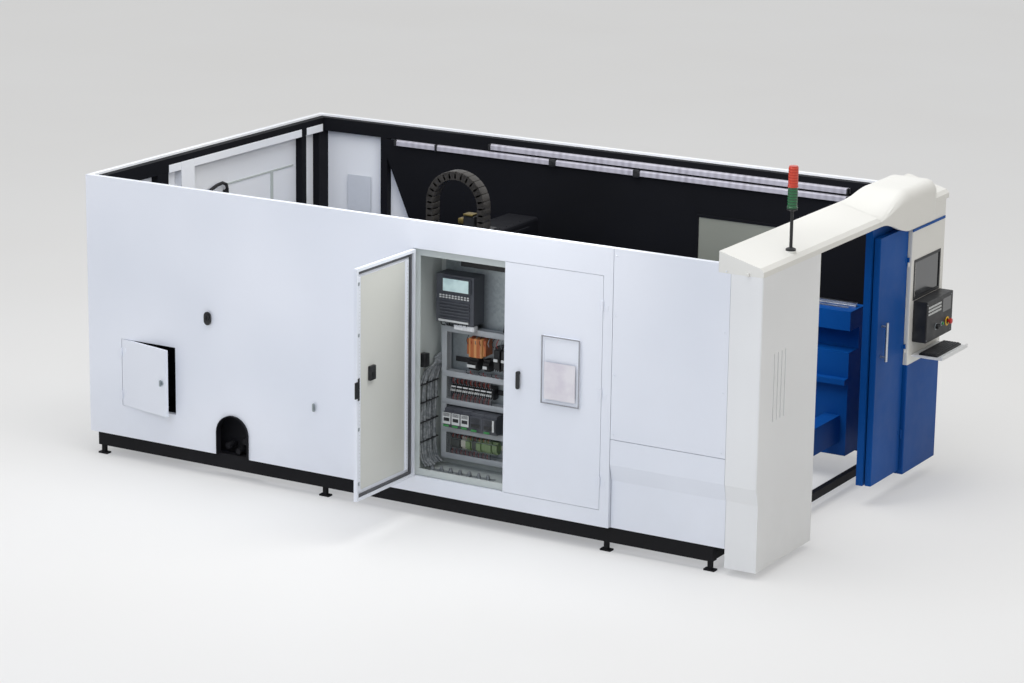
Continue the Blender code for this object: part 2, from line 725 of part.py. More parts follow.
def console_base():
    """The blue lower housing of the console, with the leaf's lowest hinge half."""
    plan = rounded(CONSOLE_START, CONSOLE_EDGE, LENGTH, FAR_INNER, [0, 0.010, 0.014, 0], 4)
    body = prism("Z", 0.12, CONSOLE_BOTTOM - CLEAR, plan)
    start = LEAF_HINGES[0] - HINGE_HALF
    knuckle = cylinder("Z", (LEAF_AXIS_X, LEAF_AXIS_Y, 0), HINGE_RADIUS, start, LEAF_HINGES[0], 12)
    low = (LEAF_AXIS_X - 0.003, LEAF_AXIS_Y, start)
    lug = box(low, (LEAF_AXIS_X + 0.003, CONSOLE_EDGE + 0.004, LEAF_HINGES[0]))
    return fused(body, knuckle, lug)


def console_screen():
    y0, z0, y1, z1 = screen_sides()
    inset = CLEAR
    outline = rectangle(y0 + inset, z0 + inset, y1 - inset, z1 - inset)
    return prism("X", LENGTH - SCREEN_RECESS + CLEAR, LENGTH - 0.002, outline)


OPERATOR_FRONT = LENGTH + OPERATOR_DEPTH
BUTTON_RADIUS = 0.011
BUTTON_BORE = 0.020
BUTTON_HEIGHT = OPERATOR_BOTTOM + 0.09
BUTTON_END = FAR_INNER - OPERATOR_INSET - 0.08
BUTTON_PITCH = 0.10
BUTTON_PLACES = {
    "e_stop": (BUTTON_END, BUTTON_HEIGHT),
    "start_button": (BUTTON_END - BUTTON_PITCH, BUTTON_HEIGHT),
    "override_knob": (BUTTON_END - 2 * BUTTON_PITCH, BUTTON_HEIGHT),
}


def operator_panel():
    """The dark box of controls over the keyboard, with a bore for each control's stem."""
    y0 = CONSOLE_EDGE + OPERATOR_INSET
    y1 = FAR_INNER - OPERATOR_INSET
    body = soft_box((LENGTH + CLEAR, y0, OPERATOR_BOTTOM), (OPERATOR_FRONT, y1, OPERATOR_TOP), 0.006)
    bores = []
    for y, z in BUTTON_PLACES.values():
        radius = BUTTON_RADIUS + CLEAR
        bores.append(cylinder("X", (0, y, z), radius, OPERATOR_FRONT - BUTTON_BORE, OPERATOR_FRONT + 0.01))
    return cut(body, *bores)


def control(name, profile):
    """A turned control on its stem; the profile gives (radius, distance out of the panel)."""
    y, z = BUTTON_PLACES[name]
    end = -BUTTON_BORE + 0.008
    stem = [(0, end), (BUTTON_RADIUS, end)]
    return turned("X", (OPERATOR_FRONT, y, z), [*stem, *profile])


def override_knob():
    """A fluted knob with a pointer ridge."""
    y, z = BUTTON_PLACES["override_knob"]
    body = control("override_knob", [(BUTTON_RADIUS, CLEAR), (0.019, CLEAR), (0.017, 0.018), (0, 0.018)])
    ridge_end = (OPERATOR_FRONT + 0.022, y + 0.003, z + 0.018)
    return fused(body, box((OPERATOR_FRONT + 0.010, y - 0.003, z - 0.004), ridge_end))


TRAY_AXIS_X = LENGTH + TRAY_THICK / 2 + CLEAR


def keyboard_tray():
    """The folding tray: a plate with a rolled hinge edge and a front lip."""
    y0 = CONSOLE_EDGE + OPERATOR_INSET
    y1 = FAR_INNER - OPERATOR_INSET
    half = TRAY_THICK / 2
    end = LENGTH + TRAY_REACH
    outline = [*arc(TRAY_AXIS_X, TRAY_HEIGHT, half, 270, 90, 6), (end - 0.012, TRAY_HEIGHT + half)]
    outline += [(end - 0.008, TRAY_HEIGHT + half + 0.012), (end, TRAY_HEIGHT + half + 0.012)]
    outline += [(end, TRAY_HEIGHT - half)]
    return smooth(prism("Y", y0, y1, outline), 30)


def keyboard():
    """A keyboard resting on the tray: rows of raised keys on a thin slab."""
    y0 = CONSOLE_EDGE + OPERATOR_INSET + 0.015
    y1 = FAR_INNER - OPERATOR_INSET - 0.015
    x0 = LENGTH + 0.055
    low = TRAY_HEIGHT + TRAY_THICK / 2 + CLEAR
    slab = [(x0, low), (x0 + 0.14, low), (x0 + 0.14, low + 0.010)]
    for row in range(5):
        x = x0 + 0.128 - row * 0.026
        slab += [(x, low + 0.010), (x - 0.001, low + 0.014)]
        slab += [(x - 0.019, low + 0.014), (x - 0.020, low + 0.010)]
    slab.append((x0, low + 0.010))
    return prism("Y", y0, y1, slab)


# Signal tower


def tower_piece(profile):
    return turned("Z", (LENGTH - TOWER_SETBACK, TOWER_Y, HEIGHT), profile)


def tower_pole():
    top = TOWER_POLE
    seat = TOWER_SEAT - HEIGHT + CLEAR
    foot = [(0, seat), (0.034, seat), (0.034, seat + 0.012), (0.016, seat + 0.020), (0.011, seat + 0.022)]
    foot.append((0.011, top - 0.02))
    return tower_piece([*foot, (TOWER_RADIUS, top - 0.010), (TOWER_RADIUS, top), (0, top)])


def tower_lamp(index):
    low = TOWER_POLE + index * TOWER_LAMP + CLEAR
    high = low + TOWER_LAMP - CLEAR
    radius = TOWER_RADIUS
    rim = [(0, low), (radius, low), (radius, low + 0.008), (radius - 0.003, low + 0.010)]
    return tower_piece([*rim, (radius - 0.003, high - 0.012), (radius - 0.008, high), (0, high)])


# Cabinet


def cabinet_box():
    """The cabinet's sheet metal tub with a turned-in lip around its opening."""
    front = PANEL_DOOR + CLEAR
    back = front + CABINET_DEPTH
    inner = CABINET_SHEET
    low = (CABINET_START + CLEAR, front, CABINET_BOTTOM + CLEAR)
    high = (CABINET_END - CLEAR, back, CABINET_TOP - CLEAR)
    tub = box(low, high)
    room_low = (low[0] + inner, front + 0.008, low[2] + inner)
    room_high = (high[0] - inner, back - inner, high[2] - inner)
    lip = CABINET_LIP
    mouth_low = (CABINET_START + lip, front - 0.01, CABINET_BOTTOM + lip)
    mouth_high = (CABINET_END - lip, front + 0.02, CABINET_TOP - lip)
    return cut(tub, box(room_low, room_high), box(mouth_low, mouth_high))


PLATE_BACK = PANEL_DOOR + CABINET_DEPTH - CABINET_SHEET
PLATE_FRONT = PLATE_BACK - PLATE_THICK
DEVICE_BACK = PLATE_FRONT - CLEAR


def mounting_plate():
    outline = rectangle(CABINET_START + 0.05, CABINET_BOTTOM + 0.055, CABINET_END - 0.05, CABINET_TOP - 0.05)
    return prism("Y", PLATE_FRONT, PLATE_BACK, outline)


DUCT_PARTS = (0.0572, 0.1755, 0.300, 0.4244, 0.6235)
DUCT_LINES = [CABINET_BOTTOM + part * (CABINET_TOP - CABINET_BOTTOM) for part in DUCT_PARTS]
DEVICE_START = CABINET_START + 0.13


def bay(index, part):
    """A height in the bay over a duct: part 0 is just above that duct, 1 just below the next."""
    low = DUCT_LINES[index] + DUCT_WIDTH / 2
    high = DUCT_LINES[index + 1] - DUCT_WIDTH / 2
    return low + part * (high - low)


def wire_ducts():
    """Slotted wiring ducts joined as one ladder around the rows of devices."""
    x0 = CABINET_START + 0.07
    x1 = x0 + 0.62
    half = DUCT_WIDTH / 2
    windows = []
    for low, high in zip(DUCT_LINES, DUCT_LINES[1:]):
        windows.append(rectangle(x0 + DUCT_WIDTH, low + half, x1 - DUCT_WIDTH, high - half))
    outline = rectangle(x0, DUCT_LINES[0] - half, x1, DUCT_LINES[-1] + half)
    return prism("Y", DEVICE_BACK - DUCT_DEPTH, DEVICE_BACK, outline, windows)


def device_row(rail_z, x0, x1, devices):
    """A mounting rail with devices on it; each device is (start, width, low, high, depth)."""
    rail = box((x0, DEVICE_BACK - 0.008, rail_z - 0.0175), (x1, DEVICE_BACK, rail_z + 0.0175))
    bodies = []
    for start, width, low, high, depth in devices:
        front = DEVICE_BACK - depth
        shoulder = front + 0.018
        outline = [(DEVICE_BACK - 0.004, low), (shoulder, low), (shoulder, low + 0.02), (front, low + 0.02)]
        outline += [(front, high - 0.02), (shoulder, high - 0.02), (shoulder, high)]
        outline.append((DEVICE_BACK - 0.004, high))
        bodies.append(prism("X", start, start + width, outline))
    return fused(rail, joined(bodies))


def contactor_row():
    """Contactors, two of them tall, under and beside the transformer."""
    x = DEVICE_START
    low = bay(3, 0.11)
    devices = [(x + 0.15, 0.08, low, bay(3, 0.41), 0.085), (x + 0.27, 0.045, low, bay(3, 0.41), 0.075)]
    devices += [(x + 0.37 + step, 0.045, bay(3, 0.18), bay(3, 0.80), 0.10) for step in (0, 0.06)]
    return device_row(bay(3, 0.27), x + 0.01, x + 0.50, devices)


def breaker_row():
    """A row of circuit breakers."""
    x = DEVICE_START
    devices = [(x + 0.02 + pole * 0.048, 0.045, bay(2, 0.22), bay(2, 0.78), 0.075) for pole in range(7)]
    return device_row(bay(2, 0.5), x, x + 0.50, devices)


def servo_drives():
    """Five drives side by side: three narrow ones and two wide ones."""
    x = DEVICE_START
    low = bay(1, 0.075)
    high = bay(1, 0.925)
    devices = [(x + index * 0.073, 0.070, low, high, 0.150) for index in range(3)]
    devices += [(x + 0.225 + index * 0.103, 0.100, low, high, 0.165) for index in range(2)]
    return device_row(bay(1, 0.5), x - 0.01, x + 0.50, devices)


def terminal_row():
    """Terminal blocks of two depths."""
    x = DEVICE_START
    devices = []
    for block in range(9):
        devices.append((x + block * 0.042, 0.039, bay(0, 0.2), bay(0, 0.8), 0.055 + 0.012 * (block % 2)))
    return device_row(bay(0, 0.5), x - 0.01, x + 0.50, devices)


def transformer():
    """A wound transformer: a core of stacked sheets around a rounded coil."""
    x = DEVICE_START + 0.15
    core = box((x, DEVICE_BACK - 0.09, bay(3, 0.52)), (x + 0.15, DEVICE_BACK, bay(3, 0.91)))
    plan = rounded(x + 0.02, DEVICE_BACK - 0.115, x + 0.13, DEVICE_BACK - 0.01, [0.02] * 4, 3)
    return fused(core, prism("Z", bay(3, 0.48), bay(3, 0.95), plan))


def controller_unit():
    """The numerical controller: a finned case with a raised screen bezel."""
    x0 = CABINET_START + 0.06
    x1 = x0 + 0.30
    low = DUCT_LINES[-1] + 0.06
    high = low + 0.63 * (CABINET_TOP - DUCT_LINES[-1] - 0.065)
    front = DEVICE_BACK - 0.14
    case = box((x0, front, low), (x1, DEVICE_BACK, high))
    tall = high - low
    ribs = [rectangle(x0 + 0.06, high - 0.35 * tall, x1 - 0.02, high - 0.045 * tall)]
    for rib in range(6):
        z = low + tall * (0.09 + 0.065 * rib)
        ribs.append(rectangle(x0 + 0.03, z, x1 - 0.03, z + 0.024 * tall))
    return fused(case, joined([prism("Y", front - 0.012, front + 0.004, outline) for outline in ribs]))


def laser_source():
    """The laser module on the right of the cabinet, with a stepped front cover."""
    tall = CABINET_TOP - CABINET_BOTTOM
    low = (CABINET_MEET + 0.08, 0.085, CABINET_BOTTOM + 0.064 * tall)
    high = (CABINET_END - 0.10, DEVICE_BACK, CABINET_BOTTOM + 0.51 * tall)
    case = soft_box(low, high, 0.006)
    cover_low = (low[0] + 0.03, low[1] - 0.010, low[2] + 0.03)
    return fused(case, soft_box(cover_low, (high[0] - 0.03, 0.12, high[2] - 0.03), 0.004))


def pan_door(x0, x1, z0, z1, thick):
    """A door folded as a shallow pan: a flat skin with a deep rim all round."""
    body = box((x0, 0, z0), (x1, thick, z1))
    rim = PANEL_DOOR_RIM
    return cut(body, box((x0 + rim, PANEL_DOOR_SKIN, z0 + rim), (x1 - rim, thick + 0.01, z1 - rim)))


CABINET_HINGES = (CABINET_BOTTOM + 0.20, CABINET_MIDDLE, CABINET_TOP - 0.20)
HATCH_HINGES = (HATCH_BOTTOM + 0.08, HATCH_TOP - 0.095)
HATCH_AXIS_X = HATCH_START - 0.0015
LEFT_AXIS_X = CABINET_START - 0.0015
RIGHT_AXIS_X = CABINET_END + 0.0015


def cabinet_door_left():
    body = pan_door(CABINET_START, CABINET_MEET - REVEAL / 2, CABINET_BOTTOM, CABINET_TOP, PANEL_DOOR)
    return fused(body, *hinge_halves(LEFT_AXIS_X, 1, CABINET_HINGES)[1])


def cabinet_door_right():
    body = pan_door(CABINET_MEET + REVEAL / 2, CABINET_END, CABINET_BOTTOM, CABINET_TOP, PANEL_DOOR)
    return fused(body, *hinge_halves(RIGHT_AXIS_X, -1, CABINET_HINGES)[1])


def service_hatch():
    body = pan_door(HATCH_START, HATCH_END, HATCH_BOTTOM, HATCH_TOP, HATCH_THICK)
    return fused(body, *hinge_halves(HATCH_AXIS_X, 1, HATCH_HINGES)[1])


def vent_grille():
    """A filter cover in the right-hand door: a raised rim, a plain upper field, louvres below."""
    outer = rounded(GRILLE_START, GRILLE_BOTTOM, GRILLE_END, GRILLE_TOP, [0.008] * 4, 2)
    cover = prism("Y", -GRILLE_DEPTH, -CLEAR, outer)
    border = GRILLE_BORDER
    field = rectangle(GRILLE_START + border, GRILLE_BOTTOM + border, GRILLE_END - border, GRILLE_TOP - border)
    cuts = [prism("Y", -GRILLE_DEPTH - 0.01, -GRILLE_DEPTH + 0.004, field)]
    low = GRILLE_BOTTOM + 2 * border
    pitch = (GRILLE_LOUVRES - 2 * border) / GRILLE_SLATS
    face = -GRILLE_DEPTH + 0.003
    for slat in range(GRILLE_SLATS):
        z = low + slat * pitch
        outline = [(face, z), (face + 0.001, z), (-0.002, z + pitch * 0.5), (-0.002, z + pitch * 0.75)]
        outline += [(face, z + pitch * 0.75)]
        cuts.append(prism("X", GRILLE_START + 2 * border, GRILLE_END - 2 * border, outline))
    return cut(cut(cover, cuts[0]), joined(cuts[1:]))


def hatch_latch():
    """A quarter-turn latch: a round boss with a grip bar."""
    x = HATCH_END - 0.045
    z = (HATCH_BOTTOM + HATCH_TOP) / 2
    boss = cylinder("Y", (x, 0, z), 0.016, -0.012, -CLEAR, 12)
    bar = box((x - 0.005, -0.024, z - 0.022), (x + 0.005, -0.008, z + 0.022))
    return fused(boss, bar)


# Bed, rails and feet


def bed_side(mirror):
    """One long side of the bed: a rail beam over a recess, a deep web and the pallet's ledge."""
    inner = BED_NEAR + BED_SIDE
    outline = [(BED_NEAR, BED_BOTTOM), (inner, BED_BOTTOM), (inner, LEDGE_TOP - LEDGE_THICK)]
    outline += [(inner + LEDGE_WIDTH, LEDGE_TOP - LEDGE_THICK), (inner + LEDGE_WIDTH, LEDGE_TOP)]
    outline += [(inner, LEDGE_TOP), (inner, SIDE_RECESS_BOTTOM), (inner - SIDE_RECESS, SIDE_RECESS_BOTTOM)]
    outline += [(inner - SIDE_RECESS, BED_TOP - RAIL_BEAM), (inner, BED_TOP - RAIL_BEAM)]
    outline += [(inner, BED_TOP), (BED_NEAR, BED_TOP)]
    if mirror:
        outline = [(WIDTH - y, z) for y, z in outline]
    return prism("X", BED_START, BED_END, outline)


def cross_starts():
    span = BED_END - BED_START - CROSS_BEAM - 0.10
    return [BED_START + 0.05 + span * index / (CROSS_COUNT - 1) for index in range(CROSS_COUNT)]


def machine_bed():
    """The welded bed: two sides joined by cross beams, with arched openings through its webs."""
    inner = BED_NEAR + BED_SIDE
    crosses = []
    for x in cross_starts():
        low = (x, inner - 0.05, BED_BOTTOM + 0.10)
        crosses.append(box(low, (x + CROSS_BEAM, WIDTH - inner + 0.05, BED_BOTTOM + 0.10 + CROSS_HEIGHT)))
    windows = []
    starts = cross_starts()
    for left, right in zip(starts, starts[1:]):
        middle = (left + CROSS_BEAM + right) / 2
        half = WEB_WINDOW / 2
        low = BED_BOTTOM + 0.10
        outline = rounded(middle - half, low, middle + half, WEB_WINDOW_TOP, [0.02, 0.02, 0.18, 0.18], 5)
        windows.append(prism("Y", BED_NEAR - 0.05, WIDTH - BED_NEAR + 0.05, outline))
    body = fused(bed_side(False), bed_side(True), *crosses)
    return cut(body, joined(windows))


def x_rail(y):
    """A profiled linear rail with a waist between its foot and its head."""
    half = RAIL_WIDTH / 2
    low = BED_TOP + CLEAR
    high = BED_TOP + RAIL_HEIGHT
    waist = half - 0.005
    right = [(half, low), (half, low + 0.010), (waist, low + 0.014), (waist, high - 0.010)]
    right += [(half, high - 0.006), (half, high)]
    outline = [(y + u, z) for u, z in right] + [(y - u, z) for u, z in reversed(right)]
    return prism("X", BED_START + 0.03, BED_END - 0.03, outline)


def levelling_foot(x, y):
    """A turned foot: a pad with a coned top, a threaded stem and its lock nut."""
    top = BED_BOTTOM - CLEAR
    profile = [(0, 0), (0.065, 0), (0.065, 0.012), (0.030, 0.030), (0.018, 0.032), (0.018, top - 0.040)]
    profile += [(0.032, top - 0.040), (0.032, top), (0, top)]
    return turned("Z", (x, y, 0), profile)


# Gantry, carriage and head


def rail_middles():
    y = BED_NEAR + 0.095
    return y, WIDTH - y


def truck(middle, way):
    """An end truck that straddles its rail; way points to the machine's middle."""
    grip = RAIL_WIDTH / 2 + CLEAR
    low = BED_TOP + 0.006
    high = BEAM_BOTTOM + 0.015
    outer = middle - way * 0.045
    inner = outer + way * TRUCK_WIDTH
    rail_top = BED_TOP + RAIL_HEIGHT + CLEAR
    outline = [(outer, low), (middle - way * grip, low), (middle - way * grip, rail_top)]
    outline += [(middle + way * grip, rail_top), (middle + way * grip, low), (inner, low), (inner, high)]
    outline += [(outer, high)]
    return prism("X", GANTRY_X - TRUCK_LENGTH / 2, GANTRY_X + TRUCK_LENGTH / 2, outline)


def gantry_beam():
    """The cross beam with its end trucks, guide rails and drive motors."""
    near, far = rail_middles()
    half = BEAM_WIDTH / 2
    section = rounded(GANTRY_X - half, BEAM_BOTTOM, GANTRY_X + half, BEAM_TOP, [0.02] * 4, 2)
    beam = prism("Y", near - 0.045, far + 0.045, section)
    parts = [truck(near, 1), truck(far, -1)]
    face = GANTRY_X + half
    for z in (BEAM_BOTTOM + 0.055, BEAM_TOP - 0.055):
        parts.append(box((face - 0.005, near + 0.11, z - 0.0125), (face + Y_RAIL, far - 0.11, z + 0.0125)))
    for middle, way in ((near, 1), (far, -1)):
        y = middle + way * 0.05
        x = GANTRY_X - TRUCK_LENGTH / 2 + 0.075
        high = (x + 0.05, y + 0.05, BEAM_BOTTOM + 0.19)
        parts.append(soft_box((x - 0.05, y - 0.05, BEAM_BOTTOM), high, 0.008, 1))
    return fused(beam, *parts)


SADDLE_FRONT = GANTRY_X + BEAM_WIDTH / 2 + Y_RAIL + CLEAR + CARRIAGE_PLATE
HOUSING_FRONT = SADDLE_FRONT + HOUSING_DEPTH
BRIDGE_TOP = BEAM_TOP + 0.025


def carriage():
    """The saddle on the beam's face, the head's guide housing and the bracket over the beam."""
    half = CARRIAGE_WIDTH / 2
    saddle_back = SADDLE_FRONT - CARRIAGE_PLATE
    low = BEAM_BOTTOM + 0.030
    saddle = box((saddle_back, CARRIAGE_Y - half, low), (SADDLE_FRONT, CARRIAGE_Y + half, BRIDGE_TOP))
    bridge_back = GANTRY_X + ARCH_FORWARD - ARCH_OUTER - 0.005
    bridge_front = SADDLE_FRONT - 0.005
    bridge_low = (bridge_back, CARRIAGE_Y - 0.08, BEAM_TOP + 0.010)
    bridge = box(bridge_low, (bridge_front, CARRIAGE_Y + 0.08, BRIDGE_TOP))
    plan = rounded(bridge_front, CARRIAGE_Y - 0.10, HOUSING_FRONT, CARRIAGE_Y + 0.10, [0, 0.012, 0.012, 0], 2)
    housing = prism("Z", low + 0.015, HOUSING_TOP, plan)
    motor_low = (SADDLE_FRONT - 0.05, CARRIAGE_Y - 0.045, HOUSING_TOP - 0.06)
    motor = soft_box(motor_low, (SADDLE_FRONT + 0.04, CARRIAGE_Y + 0.045, HOUSING_TOP + 0.09), 0.006, 1)
    return fused(saddle, bridge, housing, motor)


def cutting_head():
    """The laser head on its slide plate: stacked collimator, focus body and sensor ring."""
    x = HOUSING_FRONT + CLEAR + SLIDE_PLATE + HEAD_RADIUS - 0.004
    bottom = NOZZLE_TIP + NOZZLE_LENGTH + CLEAR
    radius = HEAD_RADIUS
    profile = [(0, bottom), (0.016, bottom), (0.018, bottom + 0.03), (0.030, bottom + 0.05)]
    profile += [(0.030, bottom + 0.09), (radius, bottom + 0.10), (radius, bottom + 0.30)]
    profile += [(0.036, bottom + 0.31), (0.036, HEAD_TOP - 0.04), (0.020, HEAD_TOP - 0.03)]
    profile += [(0.014, HEAD_TOP), (0, HEAD_TOP)]
    body = turned("Z", (x, CARRIAGE_Y, 0), profile)
    low = (HOUSING_FRONT + CLEAR, CARRIAGE_Y - 0.08, BEAM_BOTTOM + 0.045)
    plate = box(low, (HOUSING_FRONT + CLEAR + SLIDE_PLATE, CARRIAGE_Y + 0.08, HOUSING_TOP - 0.06))
    return fused(plate, body)


def nozzle():
    x = HOUSING_FRONT + CLEAR + SLIDE_PLATE + HEAD_RADIUS - 0.004
    low = NOZZLE_TIP
    high = NOZZLE_TIP + NOZZLE_LENGTH
    profile = [(0, low), (0.003, low), (0.015, high - 0.012), (0.016, high), (0, high)]
    return turned("Z", (x, CARRIAGE_Y, 0), profile)


def chain_stations():
    """Points and inward directions along the arch of the drag chain, in the xz plane."""
    radius = ARCH_OUTER - CHAIN_THICK / 2
    centre_z = CHAIN_TOP - ARCH_OUTER
    left = GANTRY_X + ARCH_FORWARD - radius
    right = left + 2 * radius
    rise = centre_z - BRIDGE_TOP - CLEAR
    fall = centre_z - HOUSING_TOP - CLEAR
    bend = math.pi * radius
    total = rise + bend + fall
    stations = []
    links = round(total / CHAIN_LINK)
    for link in range(links):
        for part in (0.0, 0.78, 0.80, 0.98):
            run = total * (link + part) / links
            if run <= rise:
                stations.append(((left, centre_z - rise + run), (1, 0), part < 0.79))
            elif run < rise + bend:
                angle = math.pi - (run - rise) / radius
                inward = (-math.cos(angle), -math.sin(angle))
                point = (left + radius + radius * math.cos(angle), centre_z + radius * math.sin(angle))
                stations.append((point, inward, part < 0.79))
            else:
                stations.append(((right, centre_z - (run - rise - bend)), (-1, 0), part < 0.79))
    stations.append(((right, centre_z - fall), (-1, 0), True))
    return stations


def drag_chain():
    """The upright arch of linked cable carrier: thick links with narrow joints between them."""
    shape = bmesh.new()
    rings = []
    for (x, z), (inward_x, inward_z), full in chain_stations():
        half = CHAIN_THICK / 2 * (1 if full else 0.72)
        wide = CHAIN_WIDTH / 2 * (1 if full else 0.88)
        corners = [(-half, -wide), (half, -wide), (half, wide), (-half, wide)]
        points = [(x + inward_x * u, CARRIAGE_Y + v, z + inward_z * u) for u, v in corners]
        rings.append([shape.verts.new(point) for point in points])
    for lower, upper in zip(rings, rings[1:]):
        for side in range(4):
            after = (side + 1) % 4
            shape.faces.new([lower[side], lower[after], upper[after], upper[side]])
    shape.faces.new(rings[0])
    shape.faces.new(rings[-1])
    bmesh.ops.recalc_face_normals(shape, faces=shape.faces)
    return mesh_of(shape)


# Cutting pallet


def slat(x):
    """One toothed support slat, standing across the pallet."""
    y0 = PALLET_NEAR + 0.02
    y1 = WIDTH - y0
    pitch = (y1 - y0) / TEETH
    outline = [(y0, SLAT_ROOT), (y1, SLAT_ROOT), (y1, SLAT_TIP - TOOTH_DEPTH)]
    for tooth in reversed(range(TEETH)):
        outline.append((y0 + (tooth + 0.5) * pitch, SLAT_TIP))
        outline.append((y0 + tooth * pitch, SLAT_TIP - TOOTH_DEPTH))
    return prism("X", x, x + SLAT_THICK, outline)


def cutting_pallet():
    """The exchange pallet: a welded frame on wheels, with a row of toothed slats."""
    end = PALLET_START + PALLET_LENGTH
    far = WIDTH - PALLET_NEAR
    rail = PALLET_RAIL
    middle = (PALLET_START + end) / 2
    windows = []
    for x0, x1 in ((PALLET_START + rail, middle - rail / 2), (middle + rail / 2, end - rail)):
        windows.append(rectangle(x0, PALLET_NEAR + rail, x1, far - rail))
    outline = rectangle(PALLET_START, PALLET_NEAR, end, far)
    frame = prism("Z", PALLET_BOTTOM, PALLET_TOP, outline, windows)
    wheels = []
    for index in range(WHEEL_COUNT):
        x = PALLET_START + 0.15 + (PALLET_LENGTH - 0.30) * index / (WHEEL_COUNT - 1)
        centre = (x, 0, LEDGE_TOP + CLEAR + WHEEL_RADIUS)
        wheels.append(cylinder("Y", centre, WHEEL_RADIUS, PALLET_NEAR - 0.04, PALLET_NEAR + 0.01, 16))
        wheels.append(cylinder("Y", centre, WHEEL_RADIUS, far - 0.01, far + 0.04, 16))
    count = int((PALLET_LENGTH - 0.10) / SLAT_PITCH)
    first = middle - SLAT_PITCH * (count - 1) / 2 - SLAT_THICK / 2
    slats = [slat(first + index * SLAT_PITCH) for index in range(count)]
    return fused(frame, joined(wheels), joined(slats))


# Far side lining and lamps


def lining_panel():
    """The dark sheet inside the far wall: sloped at its rear end, with a light bay left open."""
    _, posts = frame_posts()
    high = FRAME_TOP - TOP_RAIL - 0.005
    start = posts[1] + 0.03
    end = posts[3] + TUBE - 0.01
    band = HEIGHT - LINING_BAND_DROP
    outline = [(start, high), (start, HEIGHT - LINING_DROP), (start + LINING_SLOPE, LINING_BOTTOM)]
    bay_end = posts[4] + TUBE / 2
    outline += [(end, LINING_BOTTOM), (end, band), (bay_end, band), (bay_end, LINING_BOTTOM)]
    outline += [(posts[5] + TUBE / 2, LINING_BOTTOM), (posts[5] + TUBE / 2, high)]
    return prism("Y", FRAME_FAR - CLEAR - LINING_THICK, FRAME_FAR - CLEAR, outline)


def lamp_strip(start, low, back):
    """A long lamp: a channel with a sloped diffuser."""
    high = low + LAMP_HEIGHT
    outline = [(back, low), (back, high), (back - 0.022, high)]
    outline += [(back - 0.032, high - 0.010), (back - 0.032, low)]
    return prism("X", start, LAMP_END, outline)


# Materials, named for their finish

WHITE = (0.75, 0.78, 0.84)
CREAM = (0.68, 0.68, 0.64)
BLUE = (0.010, 0.070, 0.290)
BLACK = (0.012, 0.013, 0.017)
CABINET_GREY = (0.45, 0.52, 0.52)


